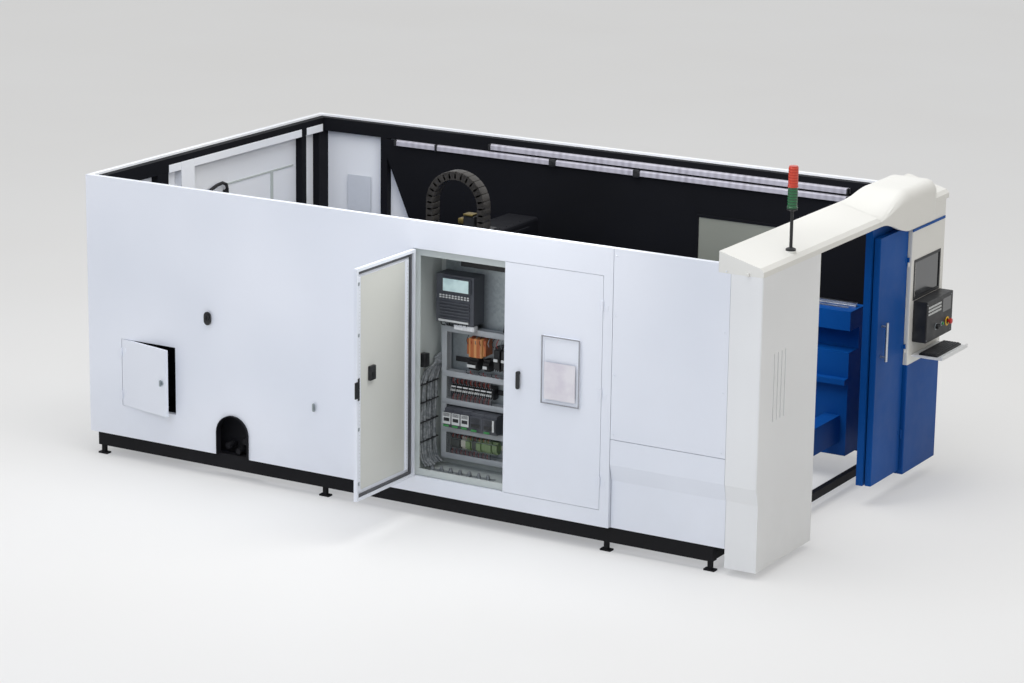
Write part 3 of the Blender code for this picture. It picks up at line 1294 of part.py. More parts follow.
def build():
    clear_scene()
    white = finish("white_paint", WHITE, 0.42)
    cream = finish("warm_white_paint", CREAM, 0.42)
    blue = finish("blue_paint", BLUE, 0.38)
    black = finish("black_paint", BLACK, 0.50)
    grey = finish("cabinet_grey_paint", CABINET_GREY, 0.45)
    glass = finish("amber_glass", (0.05, 0.04, 0.02), 0.08)
    screen = finish("screen_glass", (0.01, 0.012, 0.018), 0.10)
    steel = finish("bright_steel", (0.55, 0.55, 0.55), 0.30, 1.0)
    zinc = finish("zinc_steel", (0.62, 0.64, 0.65), 0.38, 0.9)
    duct = finish("duct_plastic", (0.50, 0.54, 0.54), 0.55)
    plastic = finish("black_plastic", (0.02, 0.02, 0.022), 0.55)
    drive = finish("drive_grey", (0.16, 0.18, 0.24), 0.50)
    orange = finish("orange_winding", (0.42, 0.13, 0.04), 0.50)
    terminal = finish("terminal_green", (0.20, 0.32, 0.12), 0.50)
    tray_white = finish("white_plastic", (0.72, 0.72, 0.74), 0.50)
    green_lamp = finish("green_lens", (0.01, 0.07, 0.04), 0.20)
    red_lamp = finish("red_lens", (0.60, 0.09, 0.04), 0.25)
    lamp = finish("lamp_diffuser", (0.75, 0.74, 0.85), 0.40)
    red = finish("red_plastic", (0.50, 0.02, 0.02), 0.40)
    green = finish("green_plastic", (0.03, 0.25, 0.06), 0.40)
    copper = finish("copper", (0.70, 0.33, 0.18), 0.30, 1.0)
    slats = finish("mill_steel", (0.20, 0.20, 0.20), 0.60, 0.8)

    machine = carrier("machine", (0, 0, 0))
    place("enclosure_frame", enclosure_frame(), black, machine)
    fixed_left = hinge_halves(LEFT_AXIS_X, 1, CABINET_HINGES)[0]
    fixed_right = hinge_halves(RIGHT_AXIS_X, -1, CABINET_HINGES)[0]
    fixed_hatch = hinge_halves(HATCH_AXIS_X, 1, HATCH_HINGES)[0]
    place("near_wall", fused(near_wall(), *fixed_left, *fixed_right, *fixed_hatch), white, machine)
    place("near_front_panel", near_front_panel(), white, machine)
    place("near_lower_panel", near_lower_panel(), white, machine)
    place("far_wall", far_wall(), white, machine)
    place("rear_wall", rear_wall(), white, machine)
    place("front_column", front_column(), cream, machine)
    place("header_beam", header_beam(), cream, machine)
    place("header_hood", header_hood(), cream, machine)
    place("console_panel", console_panel(), cream, machine)
    place("console_base", console_base(), blue, machine)
    place("console_screen", console_screen(), screen, machine)
    place("operator_panel", operator_panel(), plastic, machine)
    place("tower_pole", tower_pole(), plastic, machine)
    place("tower_green_lamp", tower_lamp(0), green_lamp, machine)
    place("tower_red_lamp", tower_lamp(1), red_lamp, machine)
    place("lining_panel", lining_panel(), black, machine)
    lining_front = FRAME_FAR - 2 * CLEAR - LINING_THICK
    place("lamp_strip_low", lamp_strip(LAMP_START, LAMP_LOW, lining_front), lamp, machine)
    place("lamp_strip_high", lamp_strip(LAMP_HIGH_START, LAMP_HIGH, FRAME_FAR - CLEAR), lamp, machine)

    place("cabinet_box", cabinet_box(), grey, machine)
    place("mounting_plate", mounting_plate(), zinc, machine)
    place("wire_ducts", wire_ducts(), duct, machine)
    place("controller_unit", controller_unit(), drive, machine)
    place("transformer", transformer(), orange, machine)
    place("contactor_row", contactor_row(), plastic, machine)
    place("breaker_row", breaker_row(), plastic, machine)
    place("servo_drives", servo_drives(), drive, machine)
    place("terminal_row", terminal_row(), terminal, machine)
    place("laser_source", laser_source(), steel, machine)

    place("machine_bed", machine_bed(), blue, machine)
    near_rail, far_rail = rail_middles()
    place("x_rail_near", x_rail(near_rail), steel, machine)
    place("x_rail_far", x_rail(far_rail), steel, machine)
    foot_y = BED_NEAR + BED_SIDE / 2
    feet = [(x, y) for x in (BED_START + 0.60, BED_END - 0.60) for y in (foot_y, WIDTH - foot_y)]
    for number, (x, y) in enumerate(feet, 1):
        place(f"levelling_foot_{number}", levelling_foot(x, y), zinc, machine)

    gantry = carrier("gantry", (GANTRY_X, MID, BED_TOP), machine)
    place("gantry_beam", gantry_beam(), black, gantry)
    saddle = carrier("saddle", (SADDLE_FRONT, CARRIAGE_Y, BEAM_TOP), gantry)
    place("carriage", carriage(), plastic, saddle)
    place("chain_arch", drag_chain(), plastic, saddle)
    head = carrier("head", (HOUSING_FRONT, CARRIAGE_Y, HEAD_TOP), saddle)
    place("cutting_head", cutting_head(), zinc, head)
    place("nozzle", nozzle(), copper, head)
    pallet = carrier("pallet", (PALLET_START, MID, PALLET_BOTTOM), machine)
    place("cutting_pallet", cutting_pallet(), slats, pallet)

    door = carrier("door", (DOOR_FRONT, DOOR_START, LEAF_BOTTOM), machine)
    place("sliding_door", sliding_door(), blue, door)
    place("sliding_window", sliding_window(), glass, door)
    place("flush_pull", flush_pull(), plastic, door)
    leaf = carrier("leaf", (LEAF_AXIS_X, LEAF_AXIS_Y, LEAF_BOTTOM), machine)
    place("far_leaf", far_leaf(), blue, leaf)
    place("leaf_handle", leaf_handle(), steel, leaf)

    left = carrier("left_door", (LEFT_AXIS_X, HINGE_OUT, CABINET_BOTTOM), machine, -DOOR_OPEN)
    place("cabinet_door_left", cabinet_door_left(), white, left)
    lever = carrier("left_lever", (CABINET_MEET - 0.12, HINGE_OUT, HANDLE_HEIGHT), left)
    place("left_door_handle", swing_handle(CABINET_MEET - 0.12, HANDLE_HEIGHT, 0.11), plastic, lever)
    right = carrier("right_door", (RIGHT_AXIS_X, HINGE_OUT, CABINET_BOTTOM), machine)
    place("cabinet_door_right", cabinet_door_right(), white, right)
    place("vent_grille", vent_grille(), white, right)
    lever = carrier("right_lever", (CABINET_MEET + 0.12, HINGE_OUT, HANDLE_HEIGHT), right)
    place("right_door_handle", swing_handle(CABINET_MEET + 0.12, HANDLE_HEIGHT, 0.11), plastic, lever)
    hatch = carrier("hatch", (HATCH_AXIS_X, HINGE_OUT, HATCH_BOTTOM), machine, -HATCH_AJAR)
    place("service_hatch", service_hatch(), white, hatch)
    turn = carrier("latch", (HATCH_END - 0.045, HINGE_OUT, (HATCH_BOTTOM + HATCH_TOP) / 2), hatch)
    place("hatch_latch", hatch_latch(), plastic, turn)

    tray = carrier("tray", (TRAY_AXIS_X, MID, TRAY_HEIGHT), machine)
    place("keyboard_tray", keyboard_tray(), tray_white, tray)
    place("keyboard", keyboard(), plastic, tray)
    mushroom = [(0.010, 0.014), (0.020, 0.016), (0.021, 0.024), (0.017, 0.032), (0, 0.034)]
    plunger = [(BUTTON_RADIUS, 0.006), (0.009, 0.008), (0, 0.008)]
    for name, mesh, material in (
        ("e_stop", control("e_stop", mushroom), red),
        ("start_button", control("start_button", plunger), green),
        ("override_knob", override_knob(), plastic),
    ):
        y, z = BUTTON_PLACES[name]
        place(name, mesh, material, carrier(name + "_axis", (OPERATOR_FRONT, y, z), machine))
    centre(machine)


def centre(machine):
    """Moves the machine so that the origin is on the floor below the middle of its whole box."""
    bpy.context.view_layer.update()
    corners = []
    for piece in bpy.data.objects:
        if piece.type == "MESH":
            corners += [piece.matrix_world @ Vector(corner) for corner in piece.bound_box]
    for axis in (0, 1):
        places = [corner[axis] for corner in corners]
        machine.location[axis] -= (min(places) + max(places)) / 2


build()
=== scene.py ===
import math

import bmesh
import bpy
from mathutils import Matrix, Vector


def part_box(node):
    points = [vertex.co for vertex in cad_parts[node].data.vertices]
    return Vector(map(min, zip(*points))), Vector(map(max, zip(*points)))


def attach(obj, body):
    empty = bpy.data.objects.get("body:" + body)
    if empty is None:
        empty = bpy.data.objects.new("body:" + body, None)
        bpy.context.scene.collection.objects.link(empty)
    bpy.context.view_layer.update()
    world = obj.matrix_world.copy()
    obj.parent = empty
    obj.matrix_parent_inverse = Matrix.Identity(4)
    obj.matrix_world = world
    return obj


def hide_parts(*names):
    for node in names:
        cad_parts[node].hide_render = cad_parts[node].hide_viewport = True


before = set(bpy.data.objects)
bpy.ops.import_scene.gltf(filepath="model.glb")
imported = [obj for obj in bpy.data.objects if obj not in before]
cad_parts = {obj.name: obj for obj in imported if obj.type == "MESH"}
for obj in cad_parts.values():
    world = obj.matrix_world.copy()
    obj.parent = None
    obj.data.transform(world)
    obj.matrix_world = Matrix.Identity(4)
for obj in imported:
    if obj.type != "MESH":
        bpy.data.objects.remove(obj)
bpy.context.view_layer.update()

scene = bpy.context.scene

# Everything below is measured from the outer foot of the near wall at the rear: X runs to the
# front, Y to the far side, Z up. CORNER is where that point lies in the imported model.
CORNER = Vector((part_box("near_wall")[0].x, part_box("near_wall")[0].y, 0.0))


def spot(node):
    """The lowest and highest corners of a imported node, from the machine's own corner."""
    low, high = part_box(node)
    return low - CORNER, high - CORNER


# Materials

def linear(code):
    """An sRGB colour written as six hex digits, as the linear colour that the shader wants."""
    values = [int(code[i:i + 2], 16) / 255 for i in (0, 2, 4)]
    return tuple(v / 12.92 if v <= 0.04045 else ((v + 0.055) / 1.055) ** 2.4 for v in values) + (1.0,)


def add(tree, kind, sockets=None, **settings):
    """Adds one node. sockets gives each input its number, its hex colour or the output to link."""
    node = tree.nodes.new(kind)
    for name, value in settings.items():
        setattr(node, name, value)
    for name, value in (sockets or {}).items():
        if isinstance(value, bpy.types.NodeSocket):
            tree.links.new(value, node.inputs[name])
        else:
            node.inputs[name].default_value = linear(value) if isinstance(value, str) else value
    return node


def begin(name, **fixed):
    """A new material with its shader's fixed numbers set, and the place of each point on the part."""
    material = bpy.data.materials.new(name)
    material.use_nodes = True
    tree = material.node_tree
    shader = tree.nodes["Principled BSDF"]
    for socket, value in fixed.items():
        shader.inputs[socket.replace("_", " ")].default_value = value
    place = add(tree, "ShaderNodeTexCoord").outputs["Object"]
    return material, tree, shader, place


def patches(tree, place, scale, detail, low, high, first, second):
    """Soft patches of two colours. Returns the colour and the noise that spread them."""
    noise = add(tree, "ShaderNodeTexNoise", {"Vector": place, "Scale": scale, "Detail": detail}).outputs[0]
    share = add(tree, "ShaderNodeMapRange", {0: noise, 1: low, 2: high}).outputs[0]
    return add(tree, "ShaderNodeMix", {0: share, 6: first, 7: second}, data_type="RGBA").outputs[2], noise


def wear(tree, shader, colour, noise, smooth, rough, height=None, strength=0.2, distance=0.0003):
    """Links a colour, a roughness that follows a noise, and a bump to the shader."""
    tree.links.new(colour, shader.inputs["Base Color"])
    gloss = add(tree, "ShaderNodeMapRange", {0: noise, 1: 0.3, 2: 0.7, 3: smooth, 4: rough}).outputs[0]
    tree.links.new(gloss, shader.inputs["Roughness"])
    if height:
        bump = add(tree, "ShaderNodeBump", {"Strength": strength, "Distance": distance, "Height": height})
        tree.links.new(bump.outputs[0], shader.inputs["Normal"])


def powder_coated_steel(name, colour, shade, roughness, dust=0.25, coat=0.12, shine=0.5):
    """Powder coat baked on folded sheet steel. It gives an even satin face with a fine orange peel, long soft
    waves where the sheet isn't quite flat, soft patches of painted light and shade that follow those waves,
    and a film of floor dust low down.
    The dark coats are matt ones, so they take a low shine."""
    material, tree, shader, place = begin(name, IOR=1.5, Coat_Weight=coat, Coat_Roughness=0.25,
                                          Specular_IOR_Level=shine)
    # The sheets wave over about 1.2 m, and the peel, really 2 mm across, is drawn at 5 mm.
    # The patches between colour and shade are painted light and shade for the sheet's waves; the bump below
    # draws the waves themselves.
    tone, wave = patches(tree, place, 0.85, 1.5, 0.35, 0.68, colour, shade)
    peel = add(tree, "ShaderNodeTexNoise", {"Vector": place, "Scale": 200.0, "Detail": 1.0})
    smear = add(tree, "ShaderNodeTexNoise", {"Vector": place, "Scale": 6.0, "Detail": 5.0, "Roughness": 0.6})
    height = add(tree, "ShaderNodeSeparateXYZ", {0: place}).outputs[2]
    low = add(tree, "ShaderNodeMapRange", {0: height, 1: 0.10, 2: 0.70, 3: dust, 4: 0.0}).outputs[0]
    film = add(tree, "ShaderNodeMath", {0: low, 1: smear.outputs[0]}, operation="MULTIPLY").outputs[0]
    dusty = add(tree, "ShaderNodeMix", {0: film, 6: tone, 7: "9A948A"}, data_type="RGBA").outputs[2]
    waves = add(tree, "ShaderNodeBump", {"Strength": 0.35, "Distance": 0.012, "Height": wave})
    wear(tree, shader, dusty, smear.outputs[0], roughness - 0.05, roughness + 0.07)
    fine = add(tree, "ShaderNodeBump", {"Strength": 0.10, "Distance": 0.0004, "Height": peel.outputs[0],
                                        "Normal": waves.outputs[0]})
    tree.links.new(fine.outputs[0], shader.inputs["Normal"])
    return material


def moulded_plastic(name, colour, roughness, grain=0.0015, worn="8C8F92", share=0.08):
    """Injection-moulded ABS or polyamide. It gives a spark-eroded grain and a slightly uneven
    sheen, duller where hands and dust reach."""
    material, tree, shader, place = begin(name, IOR=1.46)
    spark = add(tree, "ShaderNodeTexNoise", {"Vector": place, "Scale": 0.5 / grain, "Detail": 2.0})
    rubbed = add(tree, "ShaderNodeTexNoise", {"Vector": place, "Scale": 14.0, "Detail": 4.0}).outputs[0]
    part = add(tree, "ShaderNodeMapRange", {0: rubbed, 1: 0.4, 2: 0.75, 3: 0.0, 4: share}).outputs[0]
    tone = add(tree, "ShaderNodeMix", {0: part, 6: colour, 7: worn}, data_type="RGBA").outputs[2]
    wear(tree, shader, tone, rubbed, roughness - 0.06, roughness + 0.10, spark.outputs[0], 0.25, 0.0002)
    return material


def brushed_metal(name, colour, stain, roughness):
    """Ground or brushed bare metal. It gives fine streaks along one way, which stretch the
    highlights, and a few duller patches left by handling."""
    material, tree, shader, place = begin(name, Metallic=1.0)
    # A grinding belt leaves lines about 0.3 mm apart. They are drawn near 3 mm.
    drawn = add(tree, "ShaderNodeMapping", {"Vector": place, "Scale": (1.0, 60.0, 60.0)}).outputs[0]
    lines = add(tree, "ShaderNodeTexNoise", {"Vector": drawn, "Scale": 5.0, "Detail": 3.0}).outputs[0]
    tone = patches(tree, place, 5.0, 3.0, 0.45, 0.80, colour, stain)[0]
    wear(tree, shader, tone, lines, roughness - 0.08, roughness + 0.12, lines)
    return material


def zinc_plated_steel(name, colour, shade, flake):
    """Zinc on mild steel. It gives a dull bluish grey metal with a faint spangle of cells."""
    material, tree, shader, place = begin(name, Metallic=1.0)
    cells = add(tree, "ShaderNodeTexVoronoi", {"Vector": place, "Scale": 1.0 / flake, "Randomness": 1.0})
    cell = add(tree, "ShaderNodeSeparateColor", {0: cells.outputs["Color"]}).outputs[0]
    tone = add(tree, "ShaderNodeMix", {0: cell, 6: colour, 7: shade}, data_type="RGBA").outputs[2]
    wear(tree, shader, tone, cell, 0.42, 0.50)
    return material


def rolled_mill_steel(name):
    """Hot-rolled steel as it leaves the mill. It gives a dark blue-grey scale with brown
    flecks, and lighter, scorched tips where sheets have been laid and cut."""
    material, tree, shader, place = begin(name, Metallic=0.85)
    body, scale = patches(tree, place, 18.0, 6.0, 0.35, 0.7, "5A5D61", "3B3E42")
    fleck = add(tree, "ShaderNodeTexNoise", {"Vector": place, "Scale": 90.0, "Detail": 2.0}).outputs[0]
    share = add(tree, "ShaderNodeMapRange", {0: fleck, 1: 0.58, 2: 0.75, 3: 0.0, 4: 0.8}).outputs[0]
    brown = add(tree, "ShaderNodeMix", {0: share, 6: body, 7: "6B5444"}, data_type="RGBA").outputs[2]
    height = add(tree, "ShaderNodeSeparateXYZ", {0: place}).outputs[2]
    tip = add(tree, "ShaderNodeMapRange", {0: height, 1: 0.935, 2: 0.965, 3: 0.0, 4: 0.6}).outputs[0]
    tone = add(tree, "ShaderNodeMix", {0: tip, 6: brown, 7: "8E8B86"}, data_type="RGBA").outputs[2]
    wear(tree, shader, tone, scale, 0.45, 0.68, scale, 0.35, 0.0006)
    return material


def lens_plastic(name, colour, glow):
    """Clear dyed polycarbonate, moulded with prism rings inside. It gives a deep colour with
    thin bright and dark bands round the lamp."""
    material, tree, shader, place = begin(name, IOR=1.58, Transmission_Weight=0.25, Roughness=0.16,
                                          Emission_Strength=0.10)
    # The rings of such a lens are 2.5 mm apart, drawn at 9 mm.
    rings = add(tree, "ShaderNodeTexWave", {"Vector": place, "Scale": 17.5}, bands_direction="Z").outputs[1]
    tone = add(tree, "ShaderNodeMix", {0: rings, 6: colour, 7: glow}, data_type="RGBA").outputs[2]
    shader.inputs["Emission Color"].default_value = linear(colour)
    wear(tree, shader, tone, rings, 0.14, 0.20, rings, 0.5, 0.002)
    return material


def tinted_acrylic(name, colour, deep):
    """Cast acrylic dyed to stop the laser's light. It gives a dark amber pane with a glossy,
    very slightly uneven face."""
    material, tree, shader, place = begin(name, IOR=1.49, Transmission_Weight=0.6)
    tone, cast = patches(tree, place, 3.0, 1.0, 0.4, 0.65, colour, deep)
    wear(tree, shader, tone, cast, 0.05, 0.09, cast, 0.15, 0.004)
    return material


def switched_off_screen(name, colour, smear):
    """A hard-coated glass panel over a dark display. It gives a near-black face with clear
    reflections and a faint wiped smear."""
    material, tree, shader, place = begin(name, IOR=1.5, Coat_Weight=0.6, Coat_Roughness=0.05)
    tone, wiped = patches(tree, place, 9.0, 4.0, 0.4, 0.9, colour, smear)
    wear(tree, shader, tone, wiped, 0.10, 0.26)
    return material


def opal_diffuser(name):
    """Opal polycarbonate over a row of light diodes. It gives a soft lavender grey that is a
    little brighter over each diode and stained between them."""
    material, tree, shader, place = begin(name, IOR=1.58, Emission_Strength=0.05)
    # The diodes sit 60 mm apart along the lamp.
    diodes = add(tree, "ShaderNodeTexWave", {"Vector": place, "Scale": 5.2}, bands_direction="X").outputs[1]
    stain, haze = patches(tree, place, 7.0, 3.0, 0.35, 0.7, "A9A8B2", "8B8994")
    tone = add(tree, "ShaderNodeMix", {0: diodes, 6: stain, 7: "ABAAB5"}, data_type="RGBA").outputs[2]
    shader.inputs["Emission Color"].default_value = linear("DEDAEC")
    wear(tree, shader, tone, haze, 0.40, 0.55)
    return material


def wound_copper(name):
    """Enamelled copper wire under orange tape on a laminated core. It gives fine turns with
    lighter tape bands across them."""
    material, tree, shader, place = begin(name, IOR=1.5)
    # The turns are 2 mm thick, drawn at 4 mm.
    turns = add(tree, "ShaderNodeTexWave", {"Vector": place, "Scale": 40.0}, bands_direction="Z").outputs[1]
    tapes = add(tree, "ShaderNodeTexWave", {"Vector": place, "Scale": 6.5}, bands_direction="X").outputs[1]
    body = add(tree, "ShaderNodeMix", {0: turns, 6: "8E4A22", 7: "B8693A"}, data_type="RGBA").outputs[2]
    taped = add(tree, "ShaderNodeMapRange", {0: tapes, 1: 0.55, 2: 0.7, 3: 0.0, 4: 0.8}).outputs[0]
    tone = add(tree, "ShaderNodeMix", {0: taped, 6: body, 7: "C9955F"}, data_type="RGBA").outputs[2]
    wear(tree, shader, tone, turns, 0.36, 0.48, turns, 0.5, 0.002)
    return material


def turned_copper(name):
    """Chromed and turned copper alloy. It gives rings left by the lathe tool."""
    material, tree, shader, place = begin(name, Metallic=1.0)
    # The tool's rings are 0.2 mm apart, drawn at 1.5 mm.
    rings = add(tree, "ShaderNodeTexWave", {"Vector": place, "Scale": 105.0}, bands_direction="Z").outputs[1]
    tone = add(tree, "ShaderNodeMix", {0: rings, 6: "B8693F", 7: "D48E62"}, data_type="RGBA").outputs[2]
    wear(tree, shader, tone, rings, 0.22, 0.36, rings)
    return material


def polyamide_terminals(name):
    """Rail-mounted polyamide terminals. It gives thin slices, most of them grey, some green or
    black, with a dark line between neighbours."""
    material, tree, shader, place = begin(name, IOR=1.53)
    # A terminal is 6.2 mm wide. Its colour changes every 43 mm.
    across = add(tree, "ShaderNodeSeparateXYZ", {0: place}).outputs[0]
    count = add(tree, "ShaderNodeMath", {0: across, 1: 161.3}, operation="MULTIPLY").outputs[0]
    group = add(tree, "ShaderNodeMath", {0: across, 1: 23.3}, operation="MULTIPLY").outputs[0]
    whole = add(tree, "ShaderNodeMath", {0: group}, operation="FLOOR").outputs[0]
    chance = add(tree, "ShaderNodeTexWhiteNoise", {"W": whole}, noise_dimensions="1D").outputs[0]
    is_green = add(tree, "ShaderNodeMath", {0: chance, 1: 0.5}, operation="GREATER_THAN").outputs[0]
    is_black = add(tree, "ShaderNodeMath", {0: chance, 1: 0.78}, operation="GREATER_THAN").outputs[0]
    mixed = add(tree, "ShaderNodeMix", {0: is_green, 6: "C9C8BC", 7: "7F966A"}, data_type="RGBA").outputs[2]
    slices = add(tree, "ShaderNodeMix", {0: is_black, 6: mixed, 7: "4A4E4C"}, data_type="RGBA").outputs[2]
    part = add(tree, "ShaderNodeMath", {0: count}, operation="FRACT").outputs[0]
    edge = add(tree, "ShaderNodeMath", {0: part, 1: 0.16}, operation="LESS_THAN").outputs[0]
    tone = add(tree, "ShaderNodeMix", {0: edge, 6: slices, 7: "3A3B38"}, data_type="RGBA").outputs[2]
    wear(tree, shader, tone, chance, 0.40, 0.50)
    return material


def backlit_display(name, colour, dim):
    """A backlit liquid crystal display behind a matt film. It gives an even pale cyan that is a
    little dimmer in places."""
    material, tree, shader, place = begin(name, IOR=1.5, Emission_Strength=0.30)
    tone, haze = patches(tree, place, 12.0, 2.0, 0.4, 0.65, colour, dim)
    tree.links.new(tone, shader.inputs["Emission Color"])
    wear(tree, shader, tone, haze, 0.30, 0.42)
    return material


def cellular_rubber(name, colour, bloom):
    """Foamed or moulded rubber, and needled filter mat. It gives a dull, soft face with a paler
    bloom and open pores."""
    material, tree, shader, place = begin(name, IOR=1.52)
    # Foam cells are 0.5 mm across, drawn at 3 mm.
    cells = add(tree, "ShaderNodeTexVoronoi", {"Vector": place, "Scale": 330.0}).outputs["Distance"]
    tone, dust = patches(tree, place, 9.0, 4.0, 0.4, 0.7, colour, bloom)
    wear(tree, shader, tone, dust, 0.66, 0.85, cells, 0.2, 0.0005)
    return material


def insulated_wire(name, colour, light):
    """PVC insulation on stranded wire. It gives a smooth satin skin whose colour changes a
    little from one wire to the next."""
    material, tree, shader, place = begin(name, IOR=1.53)
    tone, change = patches(tree, place, 45.0, 1.0, 0.42, 0.6, colour, light)
    wear(tree, shader, tone, change, 0.36, 0.46)
    return material


white = powder_coated_steel("signal_white_powder_coat", "E3E7F0", "D9DEE8", 0.42, dust=0.12)
# A copy of the wall's white paint with a warmer tint for the header, hood and console panel: the warm tint is
# painted warm light.
white_painted_warm_light = powder_coated_steel("white_powder_coat_painted_warm_light", "E3E3DF", "DBDBD7", 0.45, dust=0.12)
blue = powder_coated_steel("ultramarine_powder_coat", "0B4F9C", "094388", 0.42, dust=0.03, coat=0.0,
                           shine=0.10)
black = powder_coated_steel("black_powder_coat", "121318", "0D0E12", 0.6, dust=0.03, coat=0.0, shine=0.12)
lining_white = powder_coated_steel("grey_white_powder_coat", "CDCFCB", "C4C6C1", 0.5, dust=0.1)
# A copy of the wall's white paint, a little brighter and less blue, tuned to how light falls on the column:
# painted light.
column_white = powder_coated_steel("column_white_powder_coat_painted_light", "E6E8EA", "DCDEE0", 0.42, dust=0.12)
# A lighter copy of the wall's white paint on the far and rear walls, whose inner faces lie in shade: the
# extra brightness is painted light.
inner_white = powder_coated_steel("inner_white_powder_coat_painted_light", "EEF1F6", "E6EAF1", 0.42, dust=0.12)
grey = powder_coated_steel("light_grey_powder_coat", "C0C7C6", "B2BAB9", 0.46)
# Grey-olive that is partly the bay panel's own paint and partly painted shade.
olive = powder_coated_steel("grey_olive_coat_and_painted_shade", "8B8E85", "7C7F76", 0.5, dust=0.1)
black_plastic = moulded_plastic("black_glass_filled_nylon", "18191B", 0.46, share=0.05)
chain_black = moulded_plastic("black_chain_nylon", "272523", 0.45, worn="5C5854", share=0.2)
key_plastic = moulded_plastic("black_key_abs", "232529", 0.5, share=0.05)
duct_plastic = moulded_plastic("grey_pvc_duct", "A6ABAF", 0.5)
drive_plastic = moulded_plastic("dark_grey_abs_housing", "4A4D54", 0.5)
drive_light = moulded_plastic("light_grey_abs_cover", "C9CCCC", 0.44)
white_plastic = moulded_plastic("white_abs_tray", "E2E4E6", 0.42, share=0.04)
red_plastic = moulded_plastic("red_abs_button", "C21F1C", 0.3, share=0.02)
green_plastic = moulded_plastic("green_abs_button", "1E8A43", 0.3, share=0.02)
plug_green = moulded_plastic("green_polyamide_plug", "3F8F4E", 0.42)
safety_yellow = moulded_plastic("yellow_abs_collar", "E3B51B", 0.35, share=0.03)
sign_plate = moulded_plastic("bare_pvc_sign_plate", "CDD2DA", 0.4, grain=0.004)
seal_grey = cellular_rubber("grey_grille_seal", "8E9096", "9EA0A6")
filter_mat = cellular_rubber("needled_filter_mat", "DCDADF", "CFCBD4")
terminal_plastic = polyamide_terminals("rail_mounted_polyamide_terminals")
ground_steel = brushed_metal("ground_stainless_steel", "C9CCD0", "A9ADB3", 0.30)
zinc = zinc_plated_steel("zinc_plated_steel", "A6AEB2", "9CA4A8", 0.02)
passivated = zinc_plated_steel("yellow_passivated_zinc", "8F7F50", "7F7042", 0.01)
mill = rolled_mill_steel("hot_rolled_steel")
amber = tinted_acrylic("amber_laser_acrylic", "5E4416", "3A2C14")
dark_glass = switched_off_screen("hard_coated_screen_glass", "0C1016", "232A33")
lit_display = backlit_display("backlit_crystal_display", "BCD2D2", "A6BEC0")
green_lens = lens_plastic("green_polycarbonate_lens", "0F4A28", "1C7040")
red_lens = lens_plastic("red_polycarbonate_lens", "B92A14", "D8482A")
opal = opal_diffuser("opal_polycarbonate_diffuser")
winding = wound_copper("taped_copper_winding")
copper = turned_copper("turned_copper_alloy")
rubber = cellular_rubber("moulded_black_rubber", "0F1012", "1E1F21")
foam = cellular_rubber("foamed_door_seal", "484A4E", "595B5F")
wire_black = insulated_wire("black_wire_insulation", "121315", "24262A")
wire_grey = insulated_wire("grey_cable_sheath", "6E7377", "8A8F93")
wire_red = insulated_wire("red_wire_insulation", "8E2A22", "A8473A")

FINISHES = {
    node_name: finish
    for finish, node_names in (
        (white, "near_wall near_front_panel near_lower_panel cabinet_door_left cabinet_door_right "
                "vent_grille service_hatch"),
        (inner_white, "far_wall rear_wall"),
        (column_white, "front_column"),
        (white_painted_warm_light, "header_beam header_hood console_panel"),
        (blue, "console_base sliding_door far_leaf machine_bed"),
        (black, "enclosure_frame lining_panel gantry_beam"),
        (grey, "cabinet_box"),
        (amber, "sliding_window"),
        (dark_glass, "console_screen"),
        (ground_steel, "leaf_handle laser_source x_rail_near x_rail_far"),
        (zinc, "mounting_plate levelling_foot_1 levelling_foot_2 levelling_foot_3 levelling_foot_4 "
               "cutting_head hatch_latch"),
        (duct_plastic, "wire_ducts"),
        (black_plastic, "operator_panel tower_pole contactor_row breaker_row carriage flush_pull "
                        "left_door_handle right_door_handle keyboard override_knob"),
        (chain_black, "chain_arch"),
        (drive_plastic, "controller_unit servo_drives"),
        (winding, "transformer"),
        (terminal_plastic, "terminal_row"),
        (white_plastic, "keyboard_tray"),
        (green_lens, "tower_green_lamp"),
        (red_lens, "tower_red_lamp"),
        (opal, "lamp_strip_low lamp_strip_high"),
        (red_plastic, "e_stop"),
        (green_plastic, "start_button"),
        (copper, "nozzle"),
        (mill, "cutting_pallet"),
    )
    for node_name in node_names.split()
}
for node_name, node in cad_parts.items():
    node.data.materials.clear()
    node.data.materials.append(FINISHES[node_name])


# Making pieces

def slab(shape, low, high, edge=0.0, steps=2):
    """Adds a block to the shape, with its edges rounded by edge."""
    verts = bmesh.ops.create_cube(shape, size=1.0)["verts"]
    low, high = Vector(low), Vector(high)
    for vert in verts:
        vert.co = (low + high) / 2 + Vector(a * b for a, b in zip(vert.co, high - low))
    if edge:
        edges = list({e for vert in verts for e in vert.link_edges})
        bmesh.ops.bevel(shape, geom=edges, offset=edge, segments=steps, profile=0.5, affect="EDGES")


def rod(shape, start, end, radius, sides=12, far_radius=None):
    """Adds a round bar between two points, tapered if its far radius differs."""
    start, end = Vector(start), Vector(end)
    turn = (end - start).to_track_quat("Z", "Y").to_matrix().to_4x4()
    bmesh.ops.create_cone(shape, cap_ends=True, segments=sides, radius1=radius,
                          radius2=radius if far_radius is None else far_radius, depth=(end - start).length,
                          matrix=Matrix.Translation((start + end) / 2) @ turn)


def plate(shape, axis, low, high, outline):
    """Adds an outline given in the other two axes, in their order, made thick along one axis."""
    index = "XYZ".index(axis)
    rings = []
    for along in (low, high):
        ring = []
        for u, v in outline:
            point = [u, v]
            point.insert(index, along)
            ring.append(shape.verts.new(point))
        rings.append(ring)
    shape.faces.new(rings[0])
    shape.faces.new(rings[1])
    for i, corner in enumerate(rings[0]):
        j = (i + 1) % len(outline)
        shape.faces.new((corner, rings[0][j], rings[1][j], rings[1][i]))


